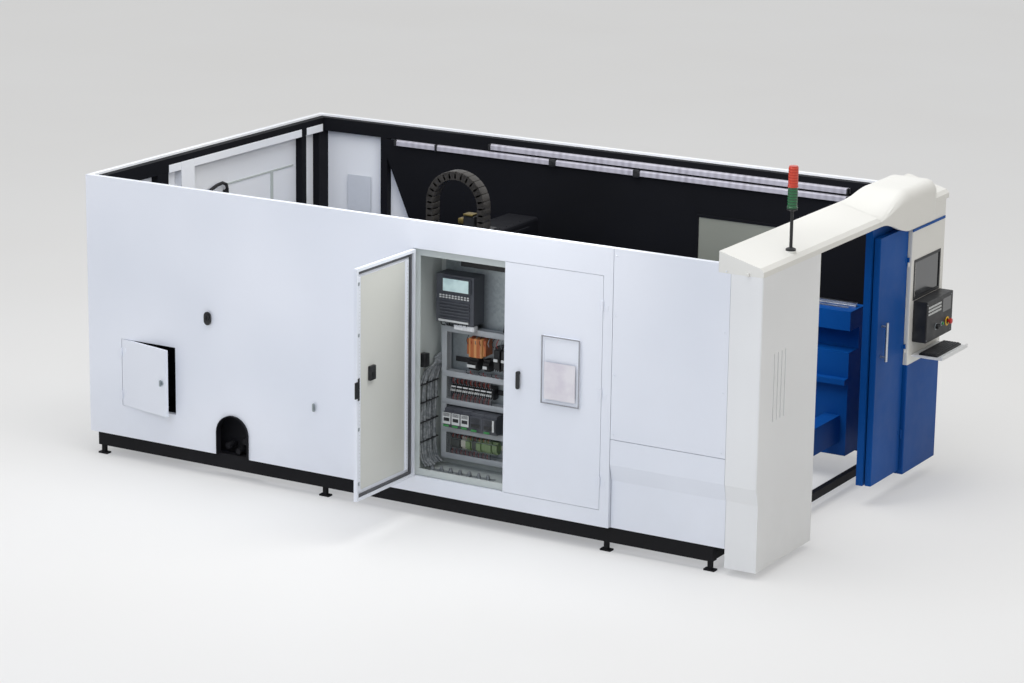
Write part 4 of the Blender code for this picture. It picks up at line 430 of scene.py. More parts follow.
def loop(shape, axis, low, high, outline, width):
    """Adds a flat frame of one width that follows a rectangle (u0, v0, u1, v1) inside its edge."""
    u0, v0, u1, v1 = outline
    for a, b, c, d in ((u0, v0, u1, v0 + width), (u0, v1 - width, u1, v1),
                       (u0, v0 + width, u0 + width, v1 - width), (u1 - width, v0 + width, u1, v1 - width)):
        plate(shape, axis, low, high, [(a, b), (c, b), (c, d), (a, d)])


def pill(u, v, width, height, steps=6):
    """The outline of an upright slot with round ends about a middle."""
    radius = width / 2
    reach = height / 2 - radius
    points = []
    for end, first in ((1, 0), (-1, 180)):
        for step in range(steps + 1):
            angle = math.radians(first + 180 * step / steps)
            points.append((u + radius * math.cos(angle), v + end * reach + radius * math.sin(angle)))
    return points


def bent(shape, points, radius, sides=8):
    """Adds a closed tube that follows the points."""
    points = [Vector(p) for p in points]
    last = len(points) - 1
    rings = []
    side = None
    for i, point in enumerate(points):
        ahead = (points[min(i + 1, last)] - points[max(i - 1, 0)]).normalized()
        if side is None:
            side = ahead.orthogonal().normalized()
        else:
            side = (side - ahead * side.dot(ahead)).normalized()
        other = ahead.cross(side)
        rings.append([shape.verts.new(point + radius * (side * math.cos(a) + other * math.sin(a)))
                      for a in (2 * math.pi * k / sides for k in range(sides))])
    for near, far in zip(rings, rings[1:]):
        for k in range(sides):
            shape.faces.new((near[k], near[(k + 1) % sides], far[(k + 1) % sides], far[k]))
    shape.faces.new(rings[0])
    shape.faces.new(rings[-1])


def eased(start, end, bulge, count=9):
    """Points of a wire from start to end that swings out by bulge in its middle."""
    start, end, bulge = Vector(start), Vector(end), Vector(bulge)
    shares = [i / (count - 1) for i in range(count)]
    return [start.lerp(end, t) + bulge * math.sin(math.pi * t) for t in shares]


def piece(shape, name, material, body="machine", replaces=None):
    """Turns the shape into one named piece at its place, that rides on a body."""
    bmesh.ops.recalc_face_normals(shape, faces=shape.faces)
    mesh = bpy.data.meshes.new(name)
    shape.to_mesh(mesh)
    shape.free()
    mesh.transform(Matrix.Translation(CORNER))
    mesh.materials.append(material)
    mesh.polygons.foreach_set("use_smooth", [True] * len(mesh.polygons))
    mesh.set_sharp_from_angle(angle=math.radians(35))
    thing = bpy.data.objects.new(name, mesh)
    scene.collection.objects.link(thing)
    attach(thing, body)
    if replaces:
        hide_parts(replaces)


# Repeats

def tree_with(name, sockets):
    """An empty node tree with a geometry input and output and the named inputs for its sizes."""
    tree = bpy.data.node_groups.new(name, "GeometryNodeTree")
    for label, kind in (("Part", "Geometry"), *sockets, ("Finish", "Material")):
        tree.interface.new_socket(name=label, in_out="INPUT", socket_type="NodeSocket" + kind)
    tree.interface.new_socket(name="Result", in_out="OUTPUT", socket_type="NodeSocketGeometry")
    return tree, add(tree, "NodeGroupInput").outputs


def close_tree(tree, enter, instances):
    """Ends a tree: its instances become plain mesh with one finish."""
    solid = add(tree, "GeometryNodeRealizeInstances", {"Geometry": instances}).outputs[0]
    coloured = add(tree, "GeometryNodeSetMaterial", {"Geometry": solid, "Material": enter["Finish"]})
    add(tree, "NodeGroupOutput", {"Result": coloured.outputs[0]})


def rows_tree():
    """Repeats a part along rows: screws, keys, duct fingers, plugs, rack teeth."""
    tree, enter = tree_with("parts_in_rows", (
        ("Across", "Int"), ("Step Across", "Vector"), ("Down", "Int"), ("Step Down", "Vector")))
    across = add(tree, "GeometryNodeMeshLine", {"Count": enter["Across"], "Offset": enter["Step Across"]})
    down = add(tree, "GeometryNodeMeshLine", {"Count": enter["Down"], "Offset": enter["Step Down"]})
    field = add(tree, "GeometryNodeInstanceOnPoints",
                {"Points": down.outputs[0], "Instance": across.outputs[0]})
    points = add(tree, "GeometryNodeRealizeInstances", {"Geometry": field.outputs[0]})
    copies = add(tree, "GeometryNodeInstanceOnPoints",
                 {"Points": points.outputs[0], "Instance": enter["Part"]})
    close_tree(tree, enter, copies.outputs[0])
    return tree


def path_tree():
    """Repeats a part along a path that lies in an upright plane along X: the links of a chain."""
    tree, enter = tree_with("parts_on_path", (("Path", "Object"), ("Count", "Int")))
    path = add(tree, "GeometryNodeObjectInfo", {"Object": enter["Path"]})
    stations = add(tree, "GeometryNodeResampleCurve",
                   {"Curve": path.outputs["Geometry"], "Count": enter["Count"]})
    way = add(tree, "GeometryNodeInputTangent").outputs[0]
    turn = add(tree, "FunctionNodeAlignRotationToVector", {"Vector": way}, axis="X", pivot_axis="Y")
    copies = add(tree, "GeometryNodeInstanceOnPoints",
                 {"Points": stations.outputs[0], "Instance": enter["Part"], "Rotation": turn.outputs[0]})
    close_tree(tree, enter, copies.outputs[0])
    return tree


ROWS = rows_tree()
ON_PATH = path_tree()


def grown(shape, part, tree, sizes, material):
    """Adds to the shape what a tree makes of a part: the modifier is evaluated once and baked."""
    mesh = bpy.data.meshes.new("part")
    part.to_mesh(mesh)
    part.free()
    holder = bpy.data.objects.new("holder", mesh)
    scene.collection.objects.link(holder)
    modifier = holder.modifiers.new("grow", "NODES")
    modifier.node_group = tree
    labels = {s.name: s.identifier for s in tree.interface.items_tree if s.in_out == "INPUT"}
    for label, value in {**sizes, "Finish": material}.items():
        modifier[labels[label]] = value
    result = bpy.data.meshes.new_from_object(holder.evaluated_get(bpy.context.evaluated_depsgraph_get()))
    holder.modifiers.clear()
    bpy.data.objects.remove(holder)
    shape.from_mesh(result)


def rows(shape, part, material, across, step, down=1, step_down=(0.0, 0.0, 0.0)):
    """Adds a row of copies of a part, one step apart, and repeats that row down times."""
    sizes = {"Across": across, "Step Across": tuple(map(float, step)), "Down": down,
             "Step Down": tuple(map(float, step_down))}
    grown(shape, part, ROWS, sizes, material)


def screw(place, axis, radius):
    """One button-head screw standing proud along an axis, with its socket."""
    part = bmesh.new()
    out = Vector(axis)
    place = Vector(place)
    rod(part, place - out * radius * 0.2, place + out * radius * 0.45, radius, 8, radius * 0.72)
    rod(part, place + out * radius * 0.2, place + out * radius * 0.55, radius * 0.34, 6)
    return part


# Near wall

def wall_locks():
    """An oval lock with its thumb turn, and a small slot latch, on the long wall."""
    shape = bmesh.new()
    plate(shape, "Y", -0.008, 0.001, pill(1.080, 1.180, 0.058, 0.098))
    rod(shape, (1.08, -0.008, 1.19), (1.08, -0.022, 1.19), 0.023, 24, 0.020)
    slab(shape, (1.075, -0.034, 1.171), (1.085, -0.018, 1.209), 0.003)
    piece(shape, "wall_lock", black_plastic)
    shape = bmesh.new()
    plate(shape, "Y", -0.004, 0.001, pill(1.987, 0.66, 0.024, 0.062))
    plate(shape, "Y", -0.010, -0.003, pill(1.987, 0.66, 0.010, 0.040))
    piece(shape, "wall_slot_latch", zinc)


def hose_arch():
    """A black edging round the arch, and behind it a black sheet with hose glands, whose black is painted
    shade in the opening.
    """
    middle, rise, radius, foot, inset = 1.281, 0.350, 0.137, 0.182, 0.955
    edge = [(middle - radius, foot)]
    edge += [(middle + radius * math.cos(a), rise + radius * math.sin(a))
             for a in (math.pi * (1 - k / 14) for k in range(15))]
    edge.append((middle + radius, foot))
    inner = [(middle + (x - middle) * inset, z if z < rise else rise + (z - rise) * inset)
             for x, z in reversed(edge)]
    shape = bmesh.new()
    plate(shape, "Y", -0.004, 0.050, edge + inner)
    piece(shape, "arch_edging", black)
    shape = bmesh.new()
    # The black sheet and its floor plate stand in for the shade inside the arch: painted shade.
    slab(shape, (1.07, 0.150, 0.075), (1.49, 0.154, 0.56), 0.001, 1)
    slab(shape, (1.07, 0.1001, 0.075), (1.49, 0.150, 0.079), 0.001, 1)
    ring_pitch = 0.012
    for x, z in ((1.20, 0.24), (1.29, 0.21), (1.35, 0.29)):
        rod(shape, (x, 0.152, z), (x, 0.120, z), 0.030, 6)
        for ring in range(5):
            start, end = 0.121 - ring_pitch * ring, 0.112 - ring_pitch * ring
            rod(shape, (x, start, z), (x, end, z), 0.024, 16, 0.021)
    piece(shape, "hose_bulkhead", black)


def hatch_fittings():
    """A black sheet pocket behind the ajar hatch, painted shade for its dark gap, and two covered units on
    its back.
    """
    x0, x1, x2, x3 = 0.250, 0.253, 0.827, 0.830
    z0, z1, z2, z3 = 0.370, 0.373, 0.962, 0.965
    front, sheet, back = 0.0402, 0.300, 0.303
    # The black pocket paints the shade seen through the hatch's gap.
    shape = bmesh.new()
    for low, high in (((x0, front, z0), (x1, back, z3)), ((x2, front, z0), (x3, back, z3)),
                      ((x1, front, z2), (x2, back, z3)), ((x1, front, z0), (x2, back, z1)),
                      ((x1, sheet, z1), (x2, back, z2))):
        slab(shape, low, high)
    slab(shape, (0.42, 0.240, 0.47), (0.60, 0.300, 0.60), 0.006)
    slab(shape, (0.66, 0.250, 0.66), (0.75, 0.300, 0.86), 0.006)
    piece(shape, "hatch_pocket", black)


# Cabinet

def open_door_inside():
    """The hollow side of the open door: foam seal, punched rails, lining, lock case and rods."""
    face, lining_face, rail_sides = 2.8008, 2.8009, (-0.672, -0.078)
    shape = bmesh.new()
    loop(shape, "X", face, 2.8150, (-0.7145, 0.3215, -0.0325, 1.8815), 0.018)
    piece(shape, "left_door_seal", foam, "left_door")
    shape = bmesh.new()
    for y in rail_sides:
        slab(shape, (face, y - 0.014, 0.36), (2.8110, y + 0.014, 1.845), 0.003, 1)
        slab(shape, (face, y - 0.022, 0.36), (2.8030, y + 0.022, 1.845), 0.0008, 1)
    piece(shape, "left_door_rails", white, "left_door")
    shape = bmesh.new()
    slab(shape, (lining_face, -0.648, 0.365), (2.8040, -0.102, 1.838), 0.001, 1)
    piece(shape, "left_door_lining", lining_white, "left_door")
    shape = bmesh.new()
    # The rails' holes are drawn as grey discs: painted shade inside the holes.
    for y in rail_sides:
        hole = bmesh.new()
        rod(hole, (2.8100, y, 0.40), (2.8114, y, 0.40), 0.0035, 8)
        rows(shape, hole, grey, 57, (0.0, 0.0, 0.025))
    piece(shape, "left_door_rail_holes", grey, "left_door")
    shape = bmesh.new()
    slab(shape, (face, -0.560, 1.105), (2.8260, -0.490, 1.205), 0.006)
    rod(shape, (2.825, -0.525, 1.155), (2.834, -0.525, 1.155), 0.016, 16)
    slab(shape, (2.8216, -0.752, 1.020), (2.8290, -0.700, 1.135), 0.002, 1)
    slab(shape, (face, -0.712, 1.000), (2.8250, -0.690, 1.155), 0.003, 1)
    piece(shape, "left_door_lock", black_plastic, "left_door")
    shape = bmesh.new()
    for low, high in ((0.345, 1.005), (1.15, 1.858)):
        rod(shape, (2.816, -0.700, low), (2.816, -0.700, high), 0.0045, 8)
    for z in (0.42, 0.80, 1.45, 1.80):
        slab(shape, (face, -0.709, z - 0.012), (2.8235, -0.691, z + 0.012), 0.002, 1)
    piece(shape, "left_door_rods", zinc, "left_door")


def slotted_ducts():
    """Wiring ducts round the rows of devices: lids, combed walls and the wires seen between."""
    foot, tall, pitch = 0.298, 1.607, 0.0125
    lines = [foot + part * tall for part in (0.0572, 0.1755, 0.300, 0.4244, 0.6235)]
    x0, x1, front, back = 2.860, 3.480, 0.2907, 0.3557
    shape = bmesh.new()
    inside = bmesh.new()
    for z in lines:
        slab(shape, (x0, front - 0.001, z - 0.0205), (x1, front + 0.005, z + 0.0205), 0.002)
        slab(shape, (x0, back - 0.012, z - 0.0195), (x1, back, z + 0.0195))
        slab(inside, (x0 + 0.003, front + 0.006, z - 0.015), (x1 - 0.003, back - 0.013, z + 0.015), 0.004, 1)
        finger = bmesh.new()
        slab(finger, (x0 + 0.003, front + 0.004, z - 0.0198), (x0 + 0.011, back - 0.011, z - 0.0180))
        rows(shape, finger, duct_plastic, 49, (pitch, 0.0, 0.0), 2, (0.0, 0.0, 0.0378))
    for x in (x0, x1 - 0.040):
        slab(shape, (x, front - 0.0004, lines[0]), (x + 0.040, front + 0.004, lines[-1]), 0.001, 1)
        slab(shape, (x + 0.001, back - 0.012, lines[0]), (x + 0.039, back, lines[-1]))
        slab(inside, (x + 0.005, front + 0.006, lines[0]), (x + 0.035, back - 0.013, lines[-1]), 0.004, 1)
        finger = bmesh.new()
        slab(finger, (x + 0.0004, front + 0.004, lines[0] + 0.024),
             (x + 0.0022, back - 0.011, lines[0] + 0.032))
        rows(shape, finger, duct_plastic, 71, (0.0, 0.0, pitch), 2, (0.0374, 0.0, 0.0))
    piece(shape, "slotted_ducts", duct_plastic, replaces="wire_ducts")
    piece(inside, "wires_in_ducts", wire_black)


def controller_face():
    """The controller's lit display, its keys and ports, and the white relay block under it."""
    shape = bmesh.new()
    slab(shape, (2.918, 0.2020, 1.590), (3.122, 0.2045, 1.678), 0.001, 1)
    piece(shape, "controller_display", lit_display)
    shape = bmesh.new()
    key = bmesh.new()
    slab(key, (2.885, 0.2105, 1.552), (2.901, 0.2165, 1.562), 0.0015, 1)
    rows(shape, key, drive_light, 10, (0.0245, 0.0, 0.0), 2, (0.0, 0.0, -0.015))
    slab(shape, (2.880, 0.2060, 1.372), (3.120, 0.2160, 1.386), 0.002, 1)
    piece(shape, "controller_keys", drive_light)
    shape = bmesh.new()
    slab(shape, (2.990, 0.232, 1.318), (3.150, 0.290, 1.352), 0.004)
    for index in range(6):
        x = index * 0.0255
        slab(shape, (2.997 + x, 0.226, 1.324), (3.017 + x, 0.233, 1.346), 0.002, 1)
    piece(shape, "relay_block", white_plastic)


def device_faces():
    """Levers, terminals, plugs, labels and fan slots on the fronts of the devices; the fan slots are black
    strips of painted shade.
    """
    pole_pitch, lever_pitch, drive_pitch, supply_pitch = 0.048, 0.0145, 0.073, 0.103
    light = bmesh.new()
    lever = bmesh.new()
    slab(lever, (2.9445, 0.2700, 0.872), (2.9525, 0.2815, 0.888), 0.001, 1)
    rows(light, lever, drive_light, 3, (lever_pitch, 0.0, 0.0), 7, (0.0, 0.0, 0.0))
    for pole in range(7):
        x = 2.940 + pole * pole_pitch
        slab(light, (x + 0.003, 0.2798, 0.893), (x + 0.042, 0.2812, 0.903), 0.0005, 1)
        for lever_index in range(3):
            lever_x = x + 0.006 + lever_pitch * lever_index
            slab(light, (lever_x, 0.2690, 0.866), (lever_x + 0.007, 0.2815, 0.881), 0.001, 1)
    for x, width, front, low, high in (
        (3.070, 0.080, 0.2707, 1.018, 1.112), (3.190, 0.045, 0.2807, 1.018, 1.112),
        (3.290, 0.045, 0.2557, 1.050, 1.224), (3.350, 0.045, 0.2557, 1.050, 1.224),
    ):
        middle = (low + high) / 2
        slab(light, (x + 0.006, front - 0.002, middle - 0.010),
             (x + width - 0.006, front + 0.001, middle + 0.010), 0.001, 1)
    piece(light, "device_labels_and_levers", drive_light)

    metal = bmesh.new()
    for z in (0.847, 0.913):
        rows(metal, screw((2.9475, 0.2985, z), (0, -1, 0), 0.0035), zinc, 3, (0.0150, 0.0, 0.0),
             7, (pole_pitch, 0.0, 0.0))
    for x, count, y, z in ((3.079, 5, 0.2880, 1.028), (3.197, 3, 0.2980, 1.028),
                           (3.297, 3, 0.2730, 1.060), (3.357, 3, 0.2730, 1.060)):
        rows(metal, screw((x, y, z), (0, -1, 0), 0.0040), zinc, count, (0.0155, 0.0, 0.0))
    rows(metal, screw((2.926, 0.2990, 0.452), (0, -1, 0), 0.0026), zinc, 60, (0.00625, 0.0, 0.0),
         2, (0.0, 0.0, 0.066))
    piece(metal, "terminal_screws", zinc)

    shape = bmesh.new()
    for index in range(3):
        x = 2.920 + index * drive_pitch
        # Each fan slot is a thin black strip: painted shade inside the slot.
        slot = bmesh.new()
        slab(slot, (x + 0.010, 0.2028, 0.720), (x + 0.060, 0.2050, 0.7225))
        rows(shape, slot, wire_black, 1, (0, 0, 0), 4, (0.0, 0.0, -0.006))
        slab(shape, (x + 0.012, 0.2028, 0.665), (x + 0.058, 0.2050, 0.690), 0.001, 1)
    for index in range(2):
        x = 3.145 + index * supply_pitch
        slot = bmesh.new()
        slab(slot, (x + 0.012, 0.1898, 0.720), (x + 0.088, 0.1910, 0.7225))
        rows(shape, slot, wire_black, 1, (0, 0, 0), 5, (0.0, 0.0, -0.006))
        slab(shape, (x + 0.014, 0.1895, 0.655), (x + 0.086, 0.1912, 0.682), 0.001, 1)
    piece(shape, "drive_displays", wire_black)
    shape = bmesh.new()
    for index in range(5):
        if index < 3:
            x, y = 2.932 + index * drive_pitch, 0.2057
        else:
            x, y = 3.165 + (index - 3) * supply_pitch, 0.1907
        plug = bmesh.new()
        slab(plug, (x, y - 0.010, 0.628), (x + 0.009, y + 0.002, 0.640), 0.001, 1)
        rows(shape, plug, plug_green, 4, (0.011, 0.0, 0.0))
    piece(shape, "drive_plugs", plug_green)
    shape = bmesh.new()
    for index in range(3):
        x = 2.920 + index * drive_pitch
        slab(shape, (x + 0.003, 0.2040, 0.645), (x + 0.067, 0.2062, 0.727), 0.002, 1)
    slab(shape, (3.330, 0.1880, 0.645), (3.345, 0.1912, 0.727), 0.002, 1)
    piece(shape, "drive_covers", drive_light)


def cabinet_wiring():
    """Wires between the ducts and devices, the loom tied to the side sheet, and its glands."""
    colours = ((wire_black, "wires_black"), (wire_grey, "wires_grey"), (wire_red, "wires_red"))
    bundles = [bmesh.new() for _ in colours]
    for index in range(28):
        x = 2.945 + index * 0.0118
        shape = bundles[(index * 5) % 3]
        bent(shape, eased((x, 0.305, 0.788), (x + 0.004, 0.300, 0.845), (0, -0.018, 0)), 0.0020, 5)
        bent(shape, eased((x + 0.003, 0.300, 0.915), (x, 0.305, 0.962), (0, -0.020, 0)), 0.0020, 5)
        bent(shape, eased((x, 0.298, 0.528), (x + 0.005, 0.305, 0.562), (0, -0.014, 0)), 0.0018, 5)
        bent(shape, eased((x, 0.300, 0.408), (x - 0.004, 0.300, 0.446), (0, -0.016, 0)), 0.0018, 5)
    for index in range(9):
        x = 3.076 + index * 0.034
        shape = bundles[(index * 2) % 3]
        bent(shape, eased((x, 0.302, 1.000), (x - 0.006, 0.276, 1.030), (0, -0.020, 0)), 0.0026, 5)
        bent(shape, eased((x, 0.302, 1.282), (x + 0.012, 0.262, 1.222), (0, -0.026, 0)), 0.0026, 5)
    for index in range(7):
        x = 2.885 + index * 0.034
        wire = eased((x, 0.240, 1.362), (x + 0.010, 0.305, 1.322), (0, -0.030, -0.004))
        bent(bundles[index % 2], wire, 0.0040, 6)
    for index in range(3):
        x = 3.330 + index * 0.022
        wire = eased((x, 0.335, 1.322), (x + 0.050, 0.335, 1.760), (0.02, -0.015, 0.0))
        bent(bundles[index % 2], wire, 0.0065, 6)
    for shape, (material, name) in zip(bundles, colours):
        piece(shape, name, material)

    shape = bmesh.new()
    for index in range(9):
        y = 0.085 + index * 0.024
        radius = 0.0065 + 0.0025 * (index % 3)
        lean = 0.012 * math.sin(index * 1.7)
        points = [(2.850, 0.306, 1.050 + 0.008 * index)]
        points.append((2.826, 0.290 - 0.004 * index, 1.045 + 0.006 * index))
        points += [(2.812 + radius, y + 0.06, 1.020), (2.806 + radius, y + lean, 0.930)]
        points += [(2.806 + radius, y + lean * math.cos(k), 0.90 - 0.09 * k) for k in range(5)]
        points += [(2.812 + radius, y, 0.44), (2.828, y + 0.01, 0.385)]
        points.append((2.850 + 0.01 * (index % 4), y + 0.02, 0.345))
        bent(shape, points, radius, 8)
    piece(shape, "side_loom", wire_grey)
    shape = bmesh.new()
    for z in (0.52, 0.66, 0.80, 0.93):
        slab(shape, (2.8005, 0.070, z - 0.004), (2.8330, 0.300, z + 0.004), 0.002, 1)
    slab(shape, (2.8005, 0.090, 1.055), (2.850, 0.150, 1.150), 0.004)
    piece(shape, "loom_clamps", black_plastic)
    shape = bmesh.new()
    for index in range(7):
        x = 2.87 + index * 0.075
        rod(shape, (x, 0.16, 0.3085), (x, 0.16, 0.326), 0.017, 6)
        rod(shape, (x, 0.16, 0.326), (x, 0.16, 0.346), 0.014, 16, 0.009)
    slab(shape, (2.845, 0.125, 0.3083), (3.365, 0.195, 0.3105))
    piece(shape, "cable_glands", wire_grey)
    shape = bmesh.new()
    slab(shape, (3.060, 0.200, 1.778), (3.430, 0.345, 1.8945), 0.006)
    slab(shape, (2.930, 0.080, 1.868), (3.330, 0.115, 1.8945), 0.004)
    piece(shape, "cabinet_lamp_and_fan", black_plastic)


def grille_parts():
    """The filter mat behind the louvres and the grey seal round the grille."""
    shape = bmesh.new()
    loop(shape, "Y", -0.0030, -0.0004, (3.8180, 0.9765, 4.1120, 1.4465), 0.008)
    piece(shape, "grille_seal", seal_grey, "right_door")
    shape = bmesh.new()
    slab(shape, (3.846, -0.0092, 1.012), (4.084, -0.0078, 1.268), 0.0004, 1)
    piece(shape, "filter_mat", filter_mat, "right_door")


# Inside the enclosure

def inner_walls():
    """Trim, posts and a hose loop on the rear wall, the light bay and bare sign plate on the far."""
    wall, post_face = 0.0402, 0.1005
    shape = bmesh.new()
    slab(shape, (wall, 1.70, 1.742), (0.0460, 2.60, 1.756), 0.001, 1)
    slab(shape, (wall, 2.285, 1.30), (0.0470, 2.320, 1.744), 0.002, 1)
    slab(shape, (wall, 1.70, 1.30), (0.0455, 1.712, 1.744), 0.001, 1)
    piece(shape, "rear_wall_trim", grey)
    shape = bmesh.new()
    for low, high in ((0.745, 0.880), (2.640, 2.705)):
        slab(shape, (wall, low, 1.3603), (0.1003, high, 1.9797), 0.003, 1)
    piece(shape, "rear_uprights", black)
    shape = bmesh.new()
    slab(shape, (post_face, 1.035, 1.365), (0.1045, 1.200, 2.036), 0.001, 1)
    slab(shape, (0.0403, 1.035, 1.365), (0.1004, 1.0450, 1.978), 0.001, 1)
    for low, high in ((0.883, 1.034), (1.201, 2.637), (2.708, 2.935)):
        slab(shape, (post_face, low, 1.976), (0.1035, high, 2.036), 0.001, 1)
    piece(shape, "rear_cover_strips", inner_white)
    shape = bmesh.new()
    bent(shape, [(0.046, 1.24, 1.665), (0.070, 1.26, 1.682), (0.080, 1.34, 1.716), (0.082, 1.44, 1.752),
                 (0.082, 1.52, 1.774), (0.080, 1.59, 1.780), (0.078, 1.64, 1.760), (0.070, 1.665, 1.722),
                 (0.046, 1.67, 1.690)], 0.013, 10)
    slab(shape, (wall, 1.645, 1.655), (0.066, 1.695, 1.712), 0.004)
    slab(shape, (wall, 1.215, 1.640), (0.062, 1.265, 1.690), 0.004)
    piece(shape, "rear_wall_hose_loop", rubber)
    shape = bmesh.new()
    slab(shape, (0.300, 2.9955, 1.350), (0.520, 2.9999, 1.640), 0.001, 1)
    piece(shape, "bare_sign_plate", sign_plate)
    shape = bmesh.new()
    # The panel's dark grey-olive is partly its own paint and partly painted shade on the far wall's inside.
    slab(shape, (3.485, 2.9350, 0.950), (4.350, 2.9390, 1.690), 0.001, 1)
    piece(shape, "light_bay_panel", olive)
    shape = bmesh.new()
    slab(shape, (3.485, 2.9270, 1.684), (4.350, 2.9340, 1.704), 0.001, 1)
    slab(shape, (3.470, 2.9270, 0.950), (3.488, 2.9340, 1.704), 0.001, 1)
    piece(shape, "light_bay_frame", black)


def lamp_clamps():
    """Clips that hold the two lamps, and their end caps."""
    shape = bmesh.new()
    for x, half in ((1.18, 0.006), (2.23, 0.026), (2.96, 0.026)):
        slab(shape, (x - half, 2.8985, 1.930), (x + half, 2.9335, 1.988), 0.003)
        slab(shape, (x - half * 0.3, 2.8950, 1.940), (x + half * 0.3, 2.9000, 1.978), 0.001, 1)
    for x, y, z in ((0.800, 2.9017, 1.938), (4.694, 2.9017, 1.938),
                    (1.660, 2.9075, 1.998), (4.694, 2.9075, 1.998)):
        slab(shape, (x - 0.004, y - 0.001, z - 0.001), (x + 0.010, y + 0.033, z + 0.043), 0.002, 1)
    piece(shape, "lamp_clips", black_plastic)


# Bed and gantry

def chain_links():
    """The upright arch of energy chain: closed lids over side plates, one link every 50 mm."""
    radius, left, right, top, middle = 0.2175, 2.0175, 2.4525, 1.880, 1.52
    points = [(left, 1.6565 + 0.045 * k) for k in range(5)]
    points += [(left + radius - radius * math.cos(a), top + radius * math.sin(a))
               for a in (math.pi * k / 24 for k in range(25))]
    points += [(right, top - 0.045 * k) for k in range(1, 3)] + [(right, 1.7515)]
    curve = bpy.data.curves.new("chain_path", "CURVE")
    curve.dimensions = "3D"
    spline = curve.splines.new("POLY")
    spline.points.add(len(points) - 1)
    for point, (x, z) in zip(spline.points, points):
        point.co = (x, middle, z, 1.0)
    path = bpy.data.objects.new("chain_path", curve)
    scene.collection.objects.link(path)
    link = bmesh.new()
    slab(link, (-0.0268, -0.0445, 0.0225), (0.0268, 0.0445, 0.0320), 0.003)
    slab(link, (-0.0205, -0.0445, -0.0320), (0.0205, 0.0445, -0.0225), 0.003)
    for side in (-1, 1):
        plate(link, "Y", side * 0.0440, side * 0.0495, link_side(0.062, 0.058, 0.014))
        rod(link, (0.0, side * 0.0485, 0.0), (0.0, side * 0.0498, 0.0), 0.010, 10)
    shape = bmesh.new()
    grown(shape, link, ON_PATH, {"Path": path, "Count": 22}, chain_black)
    bpy.data.objects.remove(path)
    piece(shape, "energy_chain_links", chain_black, "saddle", replaces="chain_arch")


def link_side(width, height, cut):
    """The outline of a link's side plate: a rectangle with its four corners cut."""
    u, v = width / 2, height / 2
    return [(-u + cut, -v), (u - cut, -v), (u, -v + cut), (u, v - cut),
            (u - cut, v), (-u + cut, v), (-u, v - cut), (-u, -v + cut)]


def gantry_fittings():
    """Bolts on the cross beam, the motor cap seen under the arch, and the cutting head's rings,
    plug and side cover."""
    shape = bmesh.new()
    rows(shape, screw((2.055, 0.67, 1.6003), (0, 0, 1), 0.006), black, 2, (0.21, 0.0, 0.0),
         18, (0.0, 0.10, 0.0))
    rows(shape, screw((2.3175, 0.66, 1.400), (1, 0, 0), 0.0045), black, 29, (0.0, 0.06, 0.0),
         2, (0.0, 0.0, 0.145))
    piece(shape, "gantry_bolts", black, "gantry")
    shape = bmesh.new()
    slab(shape, (2.300, 1.480, 1.8098), (2.380, 1.560, 1.8250), 0.004)
    slab(shape, (2.250, 1.490, 1.745), (2.296, 1.550, 1.785), 0.006)
    piece(shape, "carriage_motor_cap", passivated, "saddle")
    shape = bmesh.new()
    x, y = 2.5542, 1.52
    for z, radius in ((1.62, 0.019), (1.66, 0.013)):
        rod(shape, (x, y, z), (x, y, z + 0.030), radius, 16)
    rod(shape, (x, y, 1.400), (x, y, 1.412), 0.0445, 24)
    rod(shape, (x, y, 1.300), (x, y, 1.308), 0.0440, 24)
    rod(shape, (2.590, 1.52, 1.250), (2.628, 1.52, 1.250), 0.009, 10)
    slab(shape, (2.585, 1.500, 1.330), (2.603, 1.540, 1.385), 0.003)
    piece(shape, "cutting_head_fittings", black_plastic, "head")


def bed_fittings():
    """Bolts down the X rails, the toothed racks beside them, and bolts on the bed's ledges."""
    shape = bmesh.new()
    cap = bmesh.new()
    rod(cap, (0.40, 0.515, 1.2990), (0.40, 0.515, 1.3001), 0.006, 10)
    rows(shape, cap, zinc, 76, (0.06, 0.0, 0.0), 2, (0.0, 2.010, 0.0))
    rows(shape, screw((0.45, 0.4595, 1.262), (0, -1, 0), 0.008), zinc, 12, (0.38, 0.0, 0.0))
    piece(shape, "rail_screws", zinc)
    shape = bmesh.new()
    low, high, start, end, pitch = 1.2703, 1.2752, 0.360, 4.932, 0.012
    for root, tip in ((0.560, 0.572), (2.480, 2.468)):
        tooth = bmesh.new()
        plate(tooth, "Z", low, high, [(start, root), (0.372, root), (0.369, tip), (0.363, tip)])
        rows(shape, tooth, ground_steel, 381, (pitch, 0.0, 0.0))
    slab(shape, (start, 0.542, low), (end, 0.560, high))
    slab(shape, (start, 2.480, low), (end, 2.498, high))
    piece(shape, "toothed_racks", ground_steel)


# Front

def window_seal():
    """The rubber seal that holds the door's pane on both faces."""
    shape = bmesh.new()
    for low, high in ((5.3452, 5.3485), (5.2915, 5.2948)):
        loop(shape, "X", low, high, (2.181, 1.286, 2.669, 1.814), 0.024)
    piece(shape, "window_seal", rubber, "door")


